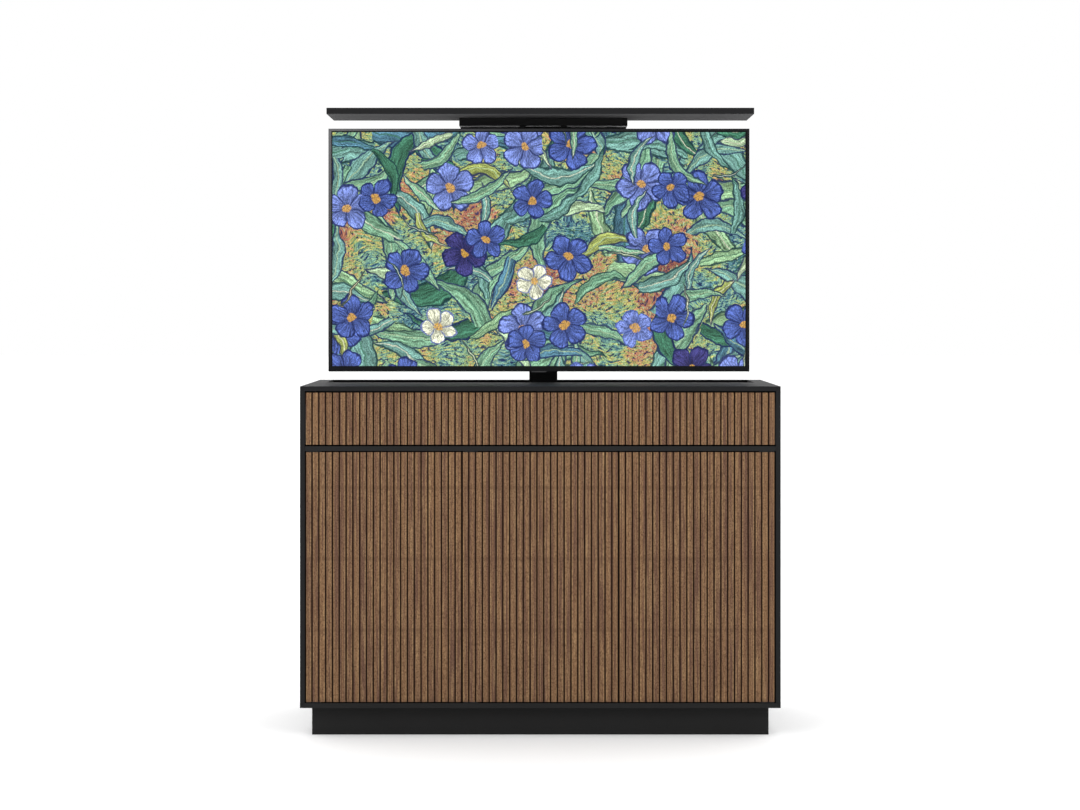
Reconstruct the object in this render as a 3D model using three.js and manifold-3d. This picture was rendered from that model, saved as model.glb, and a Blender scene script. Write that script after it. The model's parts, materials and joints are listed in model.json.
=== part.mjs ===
// A cabinet that hides a television. A motor column lifts the set out through the top,
// and the lid rides above it on the same column.
// Millimetres, +Z up. The origin is on the floor under the middle of the carcass, and the fronts face -Y.
// The set is modelled raised, as it is used. It goes down by liftTravel,
// until the lid lies flush in the top.

import * as THREE from "three";
import { mergeVertices } from "three/addons/utils/BufferGeometryUtils.js";
import Module from "manifold-3d";

const wasm = await Module();
wasm.setup();

// The television that everything else is sized around.
const tvWidth = 1229;
const tvHeight = 709;
const tvDepth = 60;
const tvOffset = -4;
const bezelSide = 8.7;
const bezelTop = 7;
const bezelBottom = 13;
const bezelDepth = 14;
const glassThickness = 5;
const glassSetback = 1.2;
const coverWall = 2.5;
const coverMargin = 4;
const slimDepth = 20;
const housingSideMargin = 112;
const housingBottomMargin = 25;
const housingTopMargin = 125;
const housingSlope = 24;

// Boards and the lines between them.
const board = 13.5;
const backBoard = 8;
const lidBoard = 18;
const seam = 0.3;
const overrun = 5;

// The carcass around the set.
const plinthHeight = 80;
const plinthRecess = 30;
const plinthRearRecess = 10;
const storageDepth = 254.5;
const sideStrip = 27.35;
const lidReveal = 2;
const lidOverhang = 7.65;
const bayFloorClearance = 108.5;
const lidToTv = 41;
const tvRise = 31;
const shelfSetback = 24;
const shelfHeightShare = 0.5;

// The slatted fronts.
const doorCount = 3;
const slatsPerDoor = 23;
const sideReveal = 2.5;
const flapReveal = 4;
const doorReveal = 3.2;
const frontInset = 1;
const flapHeight = 144.1;
const grooveWidth = 2.8;
const grooveDepth = 5;
const slatChamfer = 0.9;
const slatWeb = 1.5;
const coreThickness = 13.2;
const pressTravel = 3;

// Pivot plates on the doors and the flap. Their pins turn in holes in the boards.
const pivotInset = 5;
const pinRadius = 2.5;
const pinLength = 9;
const boreClearance = 0.4;
const boreExtraDepth = 1;
const doorPlateThickness = 2;
const doorPlateLength = 42;
const plateEdge = 1.5;
const flapPlateThickness = 1.6;
const flapPlateDepth = 18;

// The rod stays that hold the flap level. Each rod slides through a swivel,
// and the swivel is as far from the hinge as the rod's own eye is.
const stayRadius = 100;
const studSetback = 6;
const staySwivelAngle = 37;
const studLength = 8.5;
const eyeRadius = 5.4;
const eyeWidth = 5;
const eyeInset = 4;
const earHeight = 18;
const rodRadius = 2.5;
const rodLength = 182;
const swivelSize = 14;
const swivelWidth = 12;

// Push latches.
const latchWidth = 18;
const latchHeight = 14;
const latchLength = 60;
const plungerRadius = 3.5;
const plungerLength = 38;
const latchStandoff = 6;
const latchRearWall = 8;

// The lift column and its drive.
const liftOffset = 9;
const innerTubeWidth = 70;
const innerTubeDepth = 36;
const tubeWall = 3;
const glideGap = 4;
const glideLength = 30;
const glideFlange = 5;
const glideClearance = 0.3;
const stageStep = 50;
const stageClearance = 14;
const columnRearClearance = 4;
const footLength = 160;
const footThickness = 8;
const footFrontReach = 14;
const footRearReach = 2;
const middleFootGap = 10;
const innerFootGap = 27;
const nutPlate = 10;
const spindleRadius = 7;
const spindleTopGap = 52;
const gearboxWidth = 76;
const gearboxDepth = 63;
const gearboxHeight = 48;
const motorRadius = 22;
const motorLength = 110;
const motorSides = 28;

// The head of the lift: the lid's bracket, the hangers and the plate that the set bolts to.
const tvFrontClearance = 21;
const bracketWidth = 500;
const bracketHeight = 22.7;
const bracketWall = 2.5;
const bracketLead = 1.3;
const bracketRearReach = 12;
const backPlateInset = 3;
const backPlateThickness = 3;
const backPlateHeight = 118;
const hangerWidth = 18;
const hangerDepth = 24.7;
const hangerWall = 2.5;
const hangerClearance = 2.5;
const hangerBelowPlate = 15;
const mountPlateThickness = 3;
const mountPlateMargin = 15;
const mountPlateHeight = 440;
const mountArmDepth = 37.1;
const mountArmWidth = 30;
const mountArmSpacing = 400;

// The control box on the floor of the lift bay.
const controlLength = 170;
const controlDepth = 90;
const controlHeight = 44;
const controlColumnGap = 180;
const controlRearGap = 24;
const inletWidth = 26;
const inletHeight = 18;
const inletDepth = 14;

// The back board's access cover and cable outlet.
const accessWidth = 400;
const accessHeight = 400;
const accessThickness = 6;
const accessLap = 20;
const accessSideGap = 92;
const accessFloorGap = 56;
const ventCount = 9;
const ventLength = 180;
const ventWidth = 6;
const ventPitch = 22;
const outletWidth = 120;
const outletHeight = 44;
const outletSideGap = 92;
const outletFloorGap = 40;

const roundSides = 24;
const mergeTolerance = 0.0001;

// Sizes that follow from those above.
const lidWidth = tvWidth + 2 * lidOverhang;
const openingWidth = lidWidth + 2 * lidReveal;
const innerWidth = openingWidth + 2 * sideStrip;
const cabinetWidth = innerWidth + 2 * board;
const tubeStep = tubeWall + glideGap;
const middleTubeWidth = innerTubeWidth + 2 * tubeStep;
const middleTubeDepth = innerTubeDepth + 2 * tubeStep;
const outerTubeWidth = middleTubeWidth + 2 * tubeStep;
const outerTubeDepth = middleTubeDepth + 2 * tubeStep;
const mountPlateWidth = mountArmSpacing + mountArmWidth + 2 * mountPlateMargin;

// Places along Y, counted back from the front edge of the lid opening.
const tvToHanger = tvDepth + seam + mountArmDepth + mountPlateThickness + seam;
const hangerToTube = hangerDepth + seam + backPlateThickness + seam;
const bayDepth =
  tvFrontClearance + tvToHanger + hangerToTube + innerTubeDepth + 2 * tubeStep + columnRearClearance;
const cabinetDepth = storageDepth + board + bayDepth + backBoard;
const frontY = -cabinetDepth / 2;
const partitionY = frontY + storageDepth;
const bayY = partitionY + board;
const backY = bayY + bayDepth;
const rearY = backY + backBoard;
const tvY = bayY + tvFrontClearance;
const hangerY = tvY + tvToHanger;
const plateY = hangerY + hangerDepth + seam;
const columnY = hangerY + hangerToTube + innerTubeDepth / 2;

// Places along Z. Lift heights are given raised, and "down" heights with the lid flush.
const floorBoardTop = plinthHeight + board;
const tvDownZ = floorBoardTop + bayFloorClearance;
const cabinetHeight = tvDownZ + tvHeight + lidToTv + lidBoard;
const topUnderside = cabinetHeight - board;
const tvZ = cabinetHeight + tvRise;
const liftTravel = tvZ - tvDownZ;
const lidZ = tvZ + tvHeight + lidToTv;
const bracketZ = lidZ - seam - bracketHeight;
const tvCentreZ = tvZ + tvHeight / 2;
const flapTop = topUnderside - flapReveal;
const flapBottom = flapTop - flapHeight;
const flapShelfTop = flapBottom - flapReveal;
const flapShelfBottom = flapShelfTop - board;
const doorBottom = floorBoardTop + doorReveal;
const doorHeight = flapShelfBottom - doorReveal - doorBottom;

// Places of the fronts.
const slatCount = doorCount * slatsPerDoor;
const frontWidth = innerWidth - 2 * sideReveal;
const slatWidth = (frontWidth - (slatCount - 1) * grooveWidth) / slatCount;
const slatPitch = slatWidth + grooveWidth;
const doorWidth = slatsPerDoor * slatPitch - grooveWidth;
const slatDepth = grooveDepth + slatWeb;
const frontThickness = slatDepth + seam + coreThickness;
const slatY = frontY + frontInset;
const frontBackY = slatY + frontThickness;
const dividerY = frontBackY + pressTravel;
const dividerX = doorWidth / 2 + grooveWidth / 2;

function material(color, roughness, metalness) {
  return new THREE.MeshStandardMaterial({ color, roughness, metalness });
}

const blackLaminate = material(0x2a2b2c, 0.55, 0);
const walnut = material(0x84634a, 0.6, 0);
const blackBoard = material(0x1c1c1d, 0.7, 0);
const blackSteel = material(0x141415, 0.5, 0.6);
const zincSteel = material(0xb4b6b8, 0.35, 0.9);
const blackPlastic = material(0x17181a, 0.5, 0);
const greyAluminium = material(0x8d8f92, 0.4, 0.8);
const bezelMetal = material(0x26272a, 0.3, 0.7);
const screenGlass = material(0x4f7a6b, 0.15, 0);

// Turns a geometry into a solid that can be cut and joined.
function solidOf(geometry) {
  const bare = geometry.index ? geometry.toNonIndexed() : geometry.clone();
  bare.deleteAttribute("normal");
  bare.deleteAttribute("uv");
  const merged = mergeVertices(bare, mergeTolerance);
  const vertProperties = new Float32Array(merged.attributes.position.array);
  const triVerts = new Uint32Array(merged.index.array);
  return new wasm.Manifold(new wasm.Mesh({ numProp: 3, vertProperties, triVerts }));
}

function geometryOf(solid) {
  const mesh = solid.getMesh();
  const geometry = new THREE.BufferGeometry();
  geometry.setAttribute("position", new THREE.BufferAttribute(mesh.vertProperties, 3));
  geometry.setIndex(new THREE.BufferAttribute(mesh.triVerts, 1));
  geometry.computeVertexNormals();
  return geometry;
}

function cut(body, ...tools) {
  return geometryOf(tools.reduce((rest, tool) => rest.subtract(solidOf(tool)), solidOf(body)));
}

function join(...bodies) {
  return geometryOf(bodies.map(solidOf).reduce((whole, next) => whole.add(next)));
}

// A box between two corners.
function block([x0, y0, z0], [x1, y1, z1]) {
  const geometry = new THREE.BoxGeometry(x1 - x0, y1 - y0, z1 - z0);
  return geometry.translate((x0 + x1) / 2, (y0 + y1) / 2, (z0 + z1) / 2);
}

// A flat outline of [across, up] points, with any holes.
function outline(points, holes = []) {
  const shape = new THREE.Shape(points.map(([across, up]) => new THREE.Vector2(across, up)));
  shape.holes = holes;
  return shape;
}

function rectangle(x0, y0, x1, y1) {
  return [[x0, y0], [x1, y0], [x1, y1], [x0, y1]];
}

// A hole in an outline.
function hole(points) {
  return new THREE.Path(points.map(([across, up]) => new THREE.Vector2(across, up)));
}

// A slot with round ends, as a hole in an outline.
function slot(centreX, centreY, length, width) {
  const reach = (length - width) / 2;
  const path = new THREE.Path();
  path.absarc(centreX + reach, centreY, width / 2, -Math.PI / 2, Math.PI / 2, false);
  path.absarc(centreX - reach, centreY, width / 2, Math.PI / 2, (3 * Math.PI) / 2, false);
  return path;
}

function extrude(shape, depth) {
  return new THREE.ExtrudeGeometry(shape, { depth, bevelEnabled: false, curveSegments: roundSides / 4 });
}

// An [x, y] outline extruded upwards.
function extrudeUp(shape, z0, z1) {
  return extrude(shape, z1 - z0).translate(0, 0, z0);
}

// An [x, z] outline extruded towards the back.
function extrudeBack(shape, y0, y1) {
  return extrude(shape, y1 - y0).rotateX(Math.PI / 2).translate(0, y1, 0);
}

// A [y, z] outline extruded to the right.
function extrudeRight(shape, x0, x1) {
  return extrude(shape, x1 - x0).rotateZ(Math.PI / 2).rotateY(Math.PI / 2).translate(x0, 0, 0);
}

function rodAlongX(radius, x0, x1, y, z, sides = roundSides) {
  const geometry = new THREE.CylinderGeometry(radius, radius, x1 - x0, sides);
  return geometry.rotateZ(Math.PI / 2).translate((x0 + x1) / 2, y, z);
}

function rodAlongY(radius, y0, y1, x, z, sides = roundSides) {
  return new THREE.CylinderGeometry(radius, radius, y1 - y0, sides).translate(x, (y0 + y1) / 2, z);
}

function rodAlongZ(radius, z0, z1, x, y, sides = roundSides) {
  const geometry = new THREE.CylinderGeometry(radius, radius, z1 - z0, sides);
  return geometry.rotateX(Math.PI / 2).translate(x, y, (z0 + z1) / 2);
}

const cabinet = new THREE.Group();
cabinet.name = "tv_lift_cabinet";

// Adds a named piece to a group.
function piece(group, name, geometry, finish) {
  const mesh = new THREE.Mesh(geometry, finish);
  mesh.name = name;
  group.add(mesh);
  return mesh;
}

function groupAt(x, y, z) {
  const group = new THREE.Group();
  group.position.set(x, y, z);
  cabinet.add(group);
  return group;
}

// The name of the side that a mirrored piece is on.
function sideName(side) {
  return side < 0 ? "left" : "right";
}

// The carcass: four mitred boards with a U-shaped top, glued along the mitres.
const halfWidth = cabinetWidth / 2;
const halfInner = innerWidth / 2;
const halfOpening = openingWidth / 2;
const pivotY = slatY + pivotInset;
const flapPivotZ = flapBottom + pivotInset;
const boreDepth = pinLength + boreExtraDepth;
const boreRadius = pinRadius + boreClearance;
const studAcross = frontThickness - pivotInset + studSetback;
const studUp = Math.sqrt(stayRadius ** 2 - studAcross ** 2);
const swivelTurn = THREE.MathUtils.degToRad(staySwivelAngle);
const swivelY = pivotY + stayRadius * Math.sin(swivelTurn);
const swivelZ = flapPivotZ + stayRadius * Math.cos(swivelTurn);

function sidePanel(side) {
  const mitred = [
    [side * halfWidth, plinthHeight + seam],
    [side * halfWidth, cabinetHeight - seam],
    [side * halfInner, topUnderside - seam],
    [side * halfInner, floorBoardTop + seam],
  ];
  const innerFace = side * (halfInner - overrun);
  const boreEnd = side * (halfInner + boreDepth);
  const [x0, x1] = [Math.min(innerFace, boreEnd), Math.max(innerFace, boreEnd)];
  return cut(
    extrudeBack(outline(mitred), frontY, rearY),
    rodAlongX(boreRadius, x0, x1, pivotY, flapPivotZ),
    rodAlongX(boreRadius, x0, x1, swivelY, swivelZ),
  );
}

for (const side of [-1, 1]) piece(cabinet, `${sideName(side)}_side_panel`, sidePanel(side), blackLaminate);

const topOutline = [
  [-halfWidth, cabinetHeight],
  [halfWidth, cabinetHeight],
  [halfInner, topUnderside],
  [-halfInner, topUnderside],
];
const lidOpening = block(
  [-halfOpening, bayY, topUnderside - overrun],
  [halfOpening, rearY + overrun, cabinetHeight + overrun],
);
const topPanel = cut(extrudeBack(outline(topOutline), frontY, rearY), lidOpening);
piece(cabinet, "top_panel", topPanel, blackLaminate);

// The doors stand in a row, and their hinge sides are left, left and right.
const doors = ["left", "centre", "right"].map((name, index) => {
  const x = -frontWidth / 2 + index * (doorWidth + grooveWidth);
  const hingeSide = name === "right" ? 1 : -1;
  const pivotX = hingeSide < 0 ? x + pivotInset : x + doorWidth - pivotInset;
  return { name, x, hingeSide, pivotX };
});

const bottomOutline = [
  [-halfWidth, plinthHeight],
  [halfWidth, plinthHeight],
  [halfInner, floorBoardTop],
  [-halfInner, floorBoardTop],
];
const bottomBores = doors.map(({ pivotX }) =>
  rodAlongZ(boreRadius, floorBoardTop - boreDepth, floorBoardTop + overrun, pivotX, pivotY),
);
const bottomPanel = cut(extrudeBack(outline(bottomOutline), frontY, rearY), ...bottomBores);
piece(cabinet, "bottom_panel", bottomPanel, blackLaminate);

// The shelf between the flap and the doors shows at the front as a thin rail.
const shelfBores = doors.map(({ pivotX }) =>
  rodAlongZ(boreRadius, flapShelfBottom - overrun, flapShelfBottom + boreDepth, pivotX, pivotY),
);
const flapShelf = block(
  [-halfInner + seam, frontY, flapShelfBottom],
  [halfInner - seam, partitionY - seam, flapShelfTop],
);
piece(cabinet, "flap_shelf", cut(flapShelf, ...shelfBores), blackLaminate);

const partition = block(
  [-halfInner + seam, partitionY, floorBoardTop + seam],
  [halfInner - seam, bayY, topUnderside - seam],
);
piece(cabinet, "bay_partition", partition, blackLaminate);

// Dividers behind the door seams, and a shelf in each outer compartment.
const shelfZ = floorBoardTop + shelfHeightShare * (flapShelfBottom - floorBoardTop - board);
for (const side of [-1, 1]) {
  const name = sideName(side);
  const divider = block(
    [side * dividerX - board / 2, dividerY, floorBoardTop + seam],
    [side * dividerX + board / 2, partitionY - seam, flapShelfBottom - seam],
  );
  piece(cabinet, `${name}_divider`, divider, blackLaminate);
  const near = side * (dividerX + board / 2 + seam);
  const far = side * (halfInner - seam);
  const shelf = block(
    [Math.min(near, far), frontBackY + shelfSetback, shelfZ],
    [Math.max(near, far), partitionY - seam, shelfZ + board],
  );
  piece(cabinet, `${name}_shelf`, shelf, blackLaminate);
}

// The back board fills the back and stands up behind the lid as a thin rail.
const backOutline = [
  [-halfInner + seam, floorBoardTop + seam],
  [halfInner - seam, floorBoardTop + seam],
  [halfInner - seam, topUnderside - seam],
  [halfOpening - seam, topUnderside - seam],
  [halfOpening - seam, cabinetHeight],
  [-halfOpening + seam, cabinetHeight],
  [-halfOpening + seam, topUnderside - seam],
  [-halfInner + seam, topUnderside - seam],
];
const accessX = -halfInner + accessSideGap;
const accessZ = floorBoardTop + accessFloorGap;
const accessHole = rectangle(
  accessX + accessLap,
  accessZ + accessLap,
  accessX + accessWidth - accessLap,
  accessZ + accessHeight - accessLap,
);
const outletX = halfInner - outletSideGap;
const outletZ = floorBoardTop + outletFloorGap;
const outletHole = rectangle(outletX - outletWidth, outletZ, outletX, outletZ + outletHeight);
const backShape = outline(backOutline, [
  hole(accessHole),
  hole(outletHole),
]);
piece(cabinet, "back_panel", extrudeBack(backShape, backY, rearY), blackBoard);

const vents = Array.from({ length: ventCount }, (_, row) =>
  slot(accessWidth / 2, accessHeight / 2 + (row - (ventCount - 1) / 2) * ventPitch, ventLength, ventWidth),
);
const coverShape = outline(rectangle(0, 0, accessWidth, accessHeight), vents);
const accessCover = extrudeBack(coverShape, -accessThickness, 0);
piece(groupAt(accessX, backY - seam, accessZ), "back_access_cover", accessCover, blackBoard);

// The plinth: four boards set back under the carcass.
const plinthX = halfWidth - plinthRecess;
const plinthFrontY = frontY + plinthRecess;
const plinthRearY = rearY - plinthRearRecess;
const plinthTop = plinthHeight - seam;
const plinthFront = block([-plinthX, plinthFrontY, 0], [plinthX, plinthFrontY + board, plinthTop]);
const plinthRear = block([-plinthX, plinthRearY - board, 0], [plinthX, plinthRearY, plinthTop]);
piece(cabinet, "plinth_front", plinthFront, blackLaminate);
piece(cabinet, "plinth_rear", plinthRear, blackLaminate);
for (const side of [-1, 1]) {
  const outer = side * plinthX;
  const inner = side * (plinthX - board);
  const returnBoard = block(
    [Math.min(outer, inner), plinthFrontY + board + seam, 0],
    [Math.max(outer, inner), plinthRearY - board - seam, plinthTop],
  );
  piece(cabinet, `plinth_${sideName(side)}`, returnBoard, blackLaminate);
}

// A panel of upright slats on a thin web, milled from the front, with eased edges.
function slatPanel(slats, height) {
  const points = [];
  for (let index = 0; index < slats; index += 1) {
    const x0 = index * slatPitch;
    const x1 = x0 + slatWidth;
    points.push([x0, slatChamfer], [x0 + slatChamfer, 0], [x1 - slatChamfer, 0], [x1, slatChamfer]);
    if (index < slats - 1) points.push([x1, grooveDepth], [x0 + slatPitch, grooveDepth]);
  }
  points.push([(slats - 1) * slatPitch + slatWidth, slatDepth], [0, slatDepth]);
  return extrudeUp(outline(points), 0, height);
}

// A pivot plate screwed to the end of a door, with a pin that turns in the board next to it.
function doorPivot(hingeSide, end) {
  const [inner, outer] = [seam, seam + doorPlateThickness].map((rise) => end * rise);
  const edge = hingeSide < 0 ? 0 : doorWidth;
  const reaches = [plateEdge, doorPlateLength, pivotInset];
  const [near, far, centre] = reaches.map((reach) => edge - hingeSide * reach);
  const plate = block(
    [Math.min(near, far), plateEdge, Math.min(inner, outer)],
    [Math.max(near, far), frontThickness - plateEdge, Math.max(inner, outer)],
  );
  const pinRoot = end * (seam + doorPlateThickness / 2);
  const pinTip = end * (doorReveal + pinLength);
  const [pinLow, pinHigh] = [Math.min(pinRoot, pinTip), Math.max(pinRoot, pinTip)];
  const pin = rodAlongZ(pinRadius, pinLow, pinHigh, centre, pivotInset);
  return join(plate, pin);
}

for (const { name, x, hingeSide } of doors) {
  const door = groupAt(x, slatY, doorBottom);
  piece(door, `${name}_door_slats`, slatPanel(slatsPerDoor, doorHeight), walnut);
  const core = block([0, slatDepth + seam, 0], [doorWidth, frontThickness, doorHeight]);
  piece(door, `${name}_door_core`, core, blackBoard);
  piece(door, `${name}_door_bottom_pivot`, doorPivot(hingeSide, -1), zincSteel);
  const topPivot = piece(door, `${name}_door_top_pivot`, doorPivot(hingeSide, 1), zincSteel);
  topPivot.position.z = doorHeight;
}

// The flap, hinged along its lower edge on the pins of its end plates.
const flap = groupAt(-frontWidth / 2, slatY, flapBottom);
piece(flap, "flap_slats", slatPanel(slatCount, flapHeight), walnut);
const flapCore = block([0, slatDepth + seam, 0], [frontWidth, frontThickness, flapHeight]);
piece(flap, "flap_core", flapCore, blackBoard);

// An end plate has the hinge pin on its outer face, and an ear behind the flap with the stud for the stay.
function flapPlate(side) {
  const earTop = pivotInset + studUp + earHeight / 2;
  const earBack = pivotInset + studAcross + earHeight / 2;
  const plateOutline = [
    [plateEdge, plateEdge],
    [flapPlateDepth, plateEdge],
    [flapPlateDepth, earTop - earHeight - flapPlateDepth],
    [earBack, earTop - earHeight],
    [earBack, earTop],
    [plateEdge, earTop],
  ];
  const [face, outer] = [seam, seam + flapPlateThickness].map((rise) => side * rise);
  const middle = (face + outer) / 2;
  const pinTip = side * (sideReveal + pinLength);
  const studTip = side * (seam - studLength);
  return join(
    extrudeRight(outline(plateOutline), Math.min(face, outer), Math.max(face, outer)),
    rodAlongX(pinRadius, Math.min(middle, pinTip), Math.max(middle, pinTip), pivotInset, pivotInset),
    rodAlongX(
      pinRadius,
      Math.min(middle, studTip),
      Math.max(middle, studTip),
      pivotInset + studAcross,
      pivotInset + studUp,
    ),
  );
}

// The stay's rod lies along +Y from its eye. The group turns it to point at the swivel.
function stayRod() {
  const ring = rodAlongX(eyeRadius, -eyeWidth / 2, eyeWidth / 2, 0, 0);
  const shank = rodAlongY(rodRadius, boreRadius, rodLength, 0, 0);
  const bore = rodAlongX(boreRadius, -eyeWidth / 2 - overrun, eyeWidth / 2 + overrun, 0, 0);
  return cut(join(ring, shank), bore);
}

// The swivel: a block that the rod slides through, with a pin into the side panel.
function staySwivel(side) {
  const rodToPanel = eyeInset + sideReveal;
  const outer = side * (rodToPanel - seam);
  const inner = side * (rodToPanel - seam - swivelWidth);
  const half = swivelSize / 2;
  const pinTip = side * (rodToPanel + pinLength);
  const body = block([Math.min(outer, inner), -half, -half], [Math.max(outer, inner), half, half]);
  const pinRoot = side * (rodToPanel - seam - tubeWall);
  const pin = rodAlongX(pinRadius, Math.min(pinRoot, pinTip), Math.max(pinRoot, pinTip), 0, 0);
  const rodHole = rodAlongY(rodRadius + boreClearance, -half - overrun, half + overrun, 0, 0);
  return cut(join(body, pin), rodHole);
}

const studY = slatY + pivotInset + studAcross;
const studZ = flapBottom + pivotInset + studUp;
const stayTurn = Math.atan2(swivelZ - studZ, swivelY - studY);
for (const side of [-1, 1]) {
  const name = sideName(side);
  const plate = piece(flap, `${name}_flap_pivot_plate`, flapPlate(side), zincSteel);
  plate.position.x = side < 0 ? 0 : frontWidth;
  const rodX = side * (frontWidth / 2 - eyeInset);
  const rodGroup = groupAt(rodX, studY, studZ);
  rodGroup.rotation.x = stayTurn;
  piece(rodGroup, `${name}_stay_rod`, stayRod(), zincSteel);
  const swivelGroup = groupAt(rodX, swivelY, swivelZ);
  swivelGroup.rotation.x = stayTurn;
  piece(swivelGroup, `${name}_stay_swivel`, staySwivel(side), blackSteel);
}

// Push latches: a housing under the board above, and a plunger that touches the back of the front.
function latch(name, x, boardUnderside) {
  const group = groupAt(x, frontBackY, boardUnderside - seam);
  const boreEnd = latchStandoff + latchLength - latchRearWall;
  const housing = block(
    [-latchWidth / 2, latchStandoff, -latchHeight],
    [latchWidth / 2, latchStandoff + latchLength, 0],
  );
  const latchBoreRadius = plungerRadius + boreClearance;
  const bore = rodAlongY(latchBoreRadius, latchStandoff - overrun, boreEnd, 0, -latchHeight / 2);
  piece(group, `${name}_latch_housing`, cut(housing, bore), blackPlastic);
  const plunger = rodAlongY(plungerRadius, seam, seam + plungerLength, 0, -latchHeight / 2);
  piece(group, `${name}_latch_plunger`, plunger, greyAluminium);
}

const latchReach = board / 2 + seam + latchWidth / 2;
latch("left_door", -dividerX - latchReach, flapShelfBottom);
latch("centre_door", dividerX - latchReach, flapShelfBottom);
latch("right_door", dividerX + latchReach, flapShelfBottom);
latch("flap", 0, topUnderside);

// The lift column: three steel tubes, one inside the next, standing on a welded foot.
const footZ = floorBoardTop + seam;
const footTop = footZ + footThickness;
const innerDownTop = bracketZ - seam - liftTravel;
const innerLength = innerDownTop - footTop - innerFootGap;
const middleDownZ = footTop + middleFootGap;
const middleDownTop = bracketZ - liftTravel - backPlateHeight - stageClearance - glideFlange;
const middleLength = middleDownTop - middleDownZ;
const outerTop = middleDownTop - stageStep;
const column = groupAt(liftOffset, columnY, 0);

// A square tube between two heights.
function tube(width, depth, z0, z1) {
  const [outerX, outerY] = [width / 2, depth / 2];
  const [innerX, innerY] = [outerX - tubeWall, outerY - tubeWall];
  return extrudeUp(outline(rectangle(-outerX, -outerY, outerX, outerY), [
    hole(rectangle(-innerX, -innerY, innerX, innerY)),
  ]), z0, z1);
}

const foot = block(
  [-footLength / 2, -outerTubeDepth / 2 - footFrontReach, footZ],
  [footLength / 2, outerTubeDepth / 2 + footRearReach, footTop],
);
const outerTube = tube(outerTubeWidth, outerTubeDepth, footTop - tubeWall, outerTop);
piece(column, "column_outer_tube", join(foot, outerTube), blackSteel);

// A nylon collar in the mouth of a tube guides the next one.
function glideCollar(width, depth, top) {
  const [halfX, halfY] = [width / 2, depth / 2];
  const sleeveX = halfX - tubeWall - glideClearance;
  const sleeveY = halfY - tubeWall - glideClearance;
  const holeX = halfX - tubeStep + glideClearance;
  const holeY = halfY - tubeStep + glideClearance;
  const flange = block([-halfX, -halfY, top + seam], [halfX, halfY, top + seam + glideFlange]);
  const sleeve = block(
    [-sleeveX, -sleeveY, top - glideLength],
    [sleeveX, sleeveY, top + seam + glideFlange / 2],
  );
  const passage = block(
    [-holeX, -holeY, top - glideLength - overrun],
    [holeX, holeY, top + glideFlange + overrun],
  );
  return cut(join(flange, sleeve), passage);
}

piece(column, "outer_glide_collar", glideCollar(outerTubeWidth, outerTubeDepth, outerTop), blackPlastic);

// The middle tube rises half as far as the inner one. A nut plate closes its foot and rides on the spindle.
const middleGroup = new THREE.Group();
middleGroup.position.z = middleDownZ + liftTravel / 2;
column.add(middleGroup);
const nut = block(
  [-middleTubeWidth / 2 + tubeWall / 2, -middleTubeDepth / 2 + tubeWall / 2, 0],
  [middleTubeWidth / 2 - tubeWall / 2, middleTubeDepth / 2 - tubeWall / 2, nutPlate],
);
const nutBore = rodAlongZ(spindleRadius + boreClearance, -overrun, nutPlate + overrun, 0, 0);
const middleTube = join(tube(middleTubeWidth, middleTubeDepth, 0, middleLength), nut);
piece(middleGroup, "column_middle_tube", cut(middleTube, nutBore), blackSteel);
const middleCollar = glideCollar(middleTubeWidth, middleTubeDepth, middleLength);
piece(middleGroup, "middle_glide_collar", middleCollar, blackPlastic);

const spindle = rodAlongZ(spindleRadius, footTop + seam, outerTop - spindleTopGap, 0, 0);
piece(column, "drive_spindle", spindle, zincSteel);

// The motor lies across the front of the column and drives the spindle through its gearbox.
const gearboxRear = -outerTubeDepth / 2 - seam;
const gearbox = block(
  [-gearboxWidth / 2, gearboxRear - gearboxDepth, footTop + seam],
  [gearboxWidth / 2, gearboxRear, footTop + seam + gearboxHeight],
);
const motor = rodAlongX(
  motorRadius,
  -gearboxWidth / 2 - motorLength,
  0,
  gearboxRear - gearboxDepth / 2,
  footTop + seam + gearboxHeight / 2,
  motorSides,
);
piece(column, "lift_motor", join(gearbox, motor), greyAluminium);

const controlBox = cut(
  block([0, 0, 0], [controlLength, controlDepth, controlHeight]),
  block(
    [-overrun, (controlDepth - inletWidth) / 2, (controlHeight - inletHeight) / 2],
    [inletDepth, (controlDepth + inletWidth) / 2, (controlHeight + inletHeight) / 2],
  ),
);
const controlX = liftOffset - outerTubeWidth / 2 - controlColumnGap - controlLength;
const controlY = backY - controlRearGap - controlDepth;
piece(groupAt(controlX, controlY, footZ), "control_box", controlBox, blackPlastic);

// The head that the lift carries, with its origin at the lid bracket's underside.
const head = groupAt(liftOffset, 0, bracketZ);
const innerTube = tube(innerTubeWidth, innerTubeDepth, -seam - innerLength, -seam);
piece(head, "column_inner_tube", innerTube, blackSteel).position.y = columnY;

const bracketFront = hangerY - bracketLead;
const bracketRear = columnY + innerTubeDepth / 2 + bracketRearReach;
const bracketHalf = bracketWidth / 2;
const bracketShell = cut(
  block([-bracketHalf, bracketFront, 0], [bracketHalf, bracketRear, bracketHeight]),
  block(
    [-bracketHalf + bracketWall, bracketFront + bracketWall, bracketWall],
    [bracketHalf - bracketWall, bracketRear + overrun, bracketHeight - bracketWall],
  ),
);
const backPlateHalf = bracketHalf - backPlateInset;
const backPlate = block(
  [-backPlateHalf, plateY, -backPlateHeight],
  [backPlateHalf, plateY + backPlateThickness, bracketWall / 2],
);
piece(head, "lid_bracket", join(bracketShell, backPlate), blackSteel);

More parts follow.
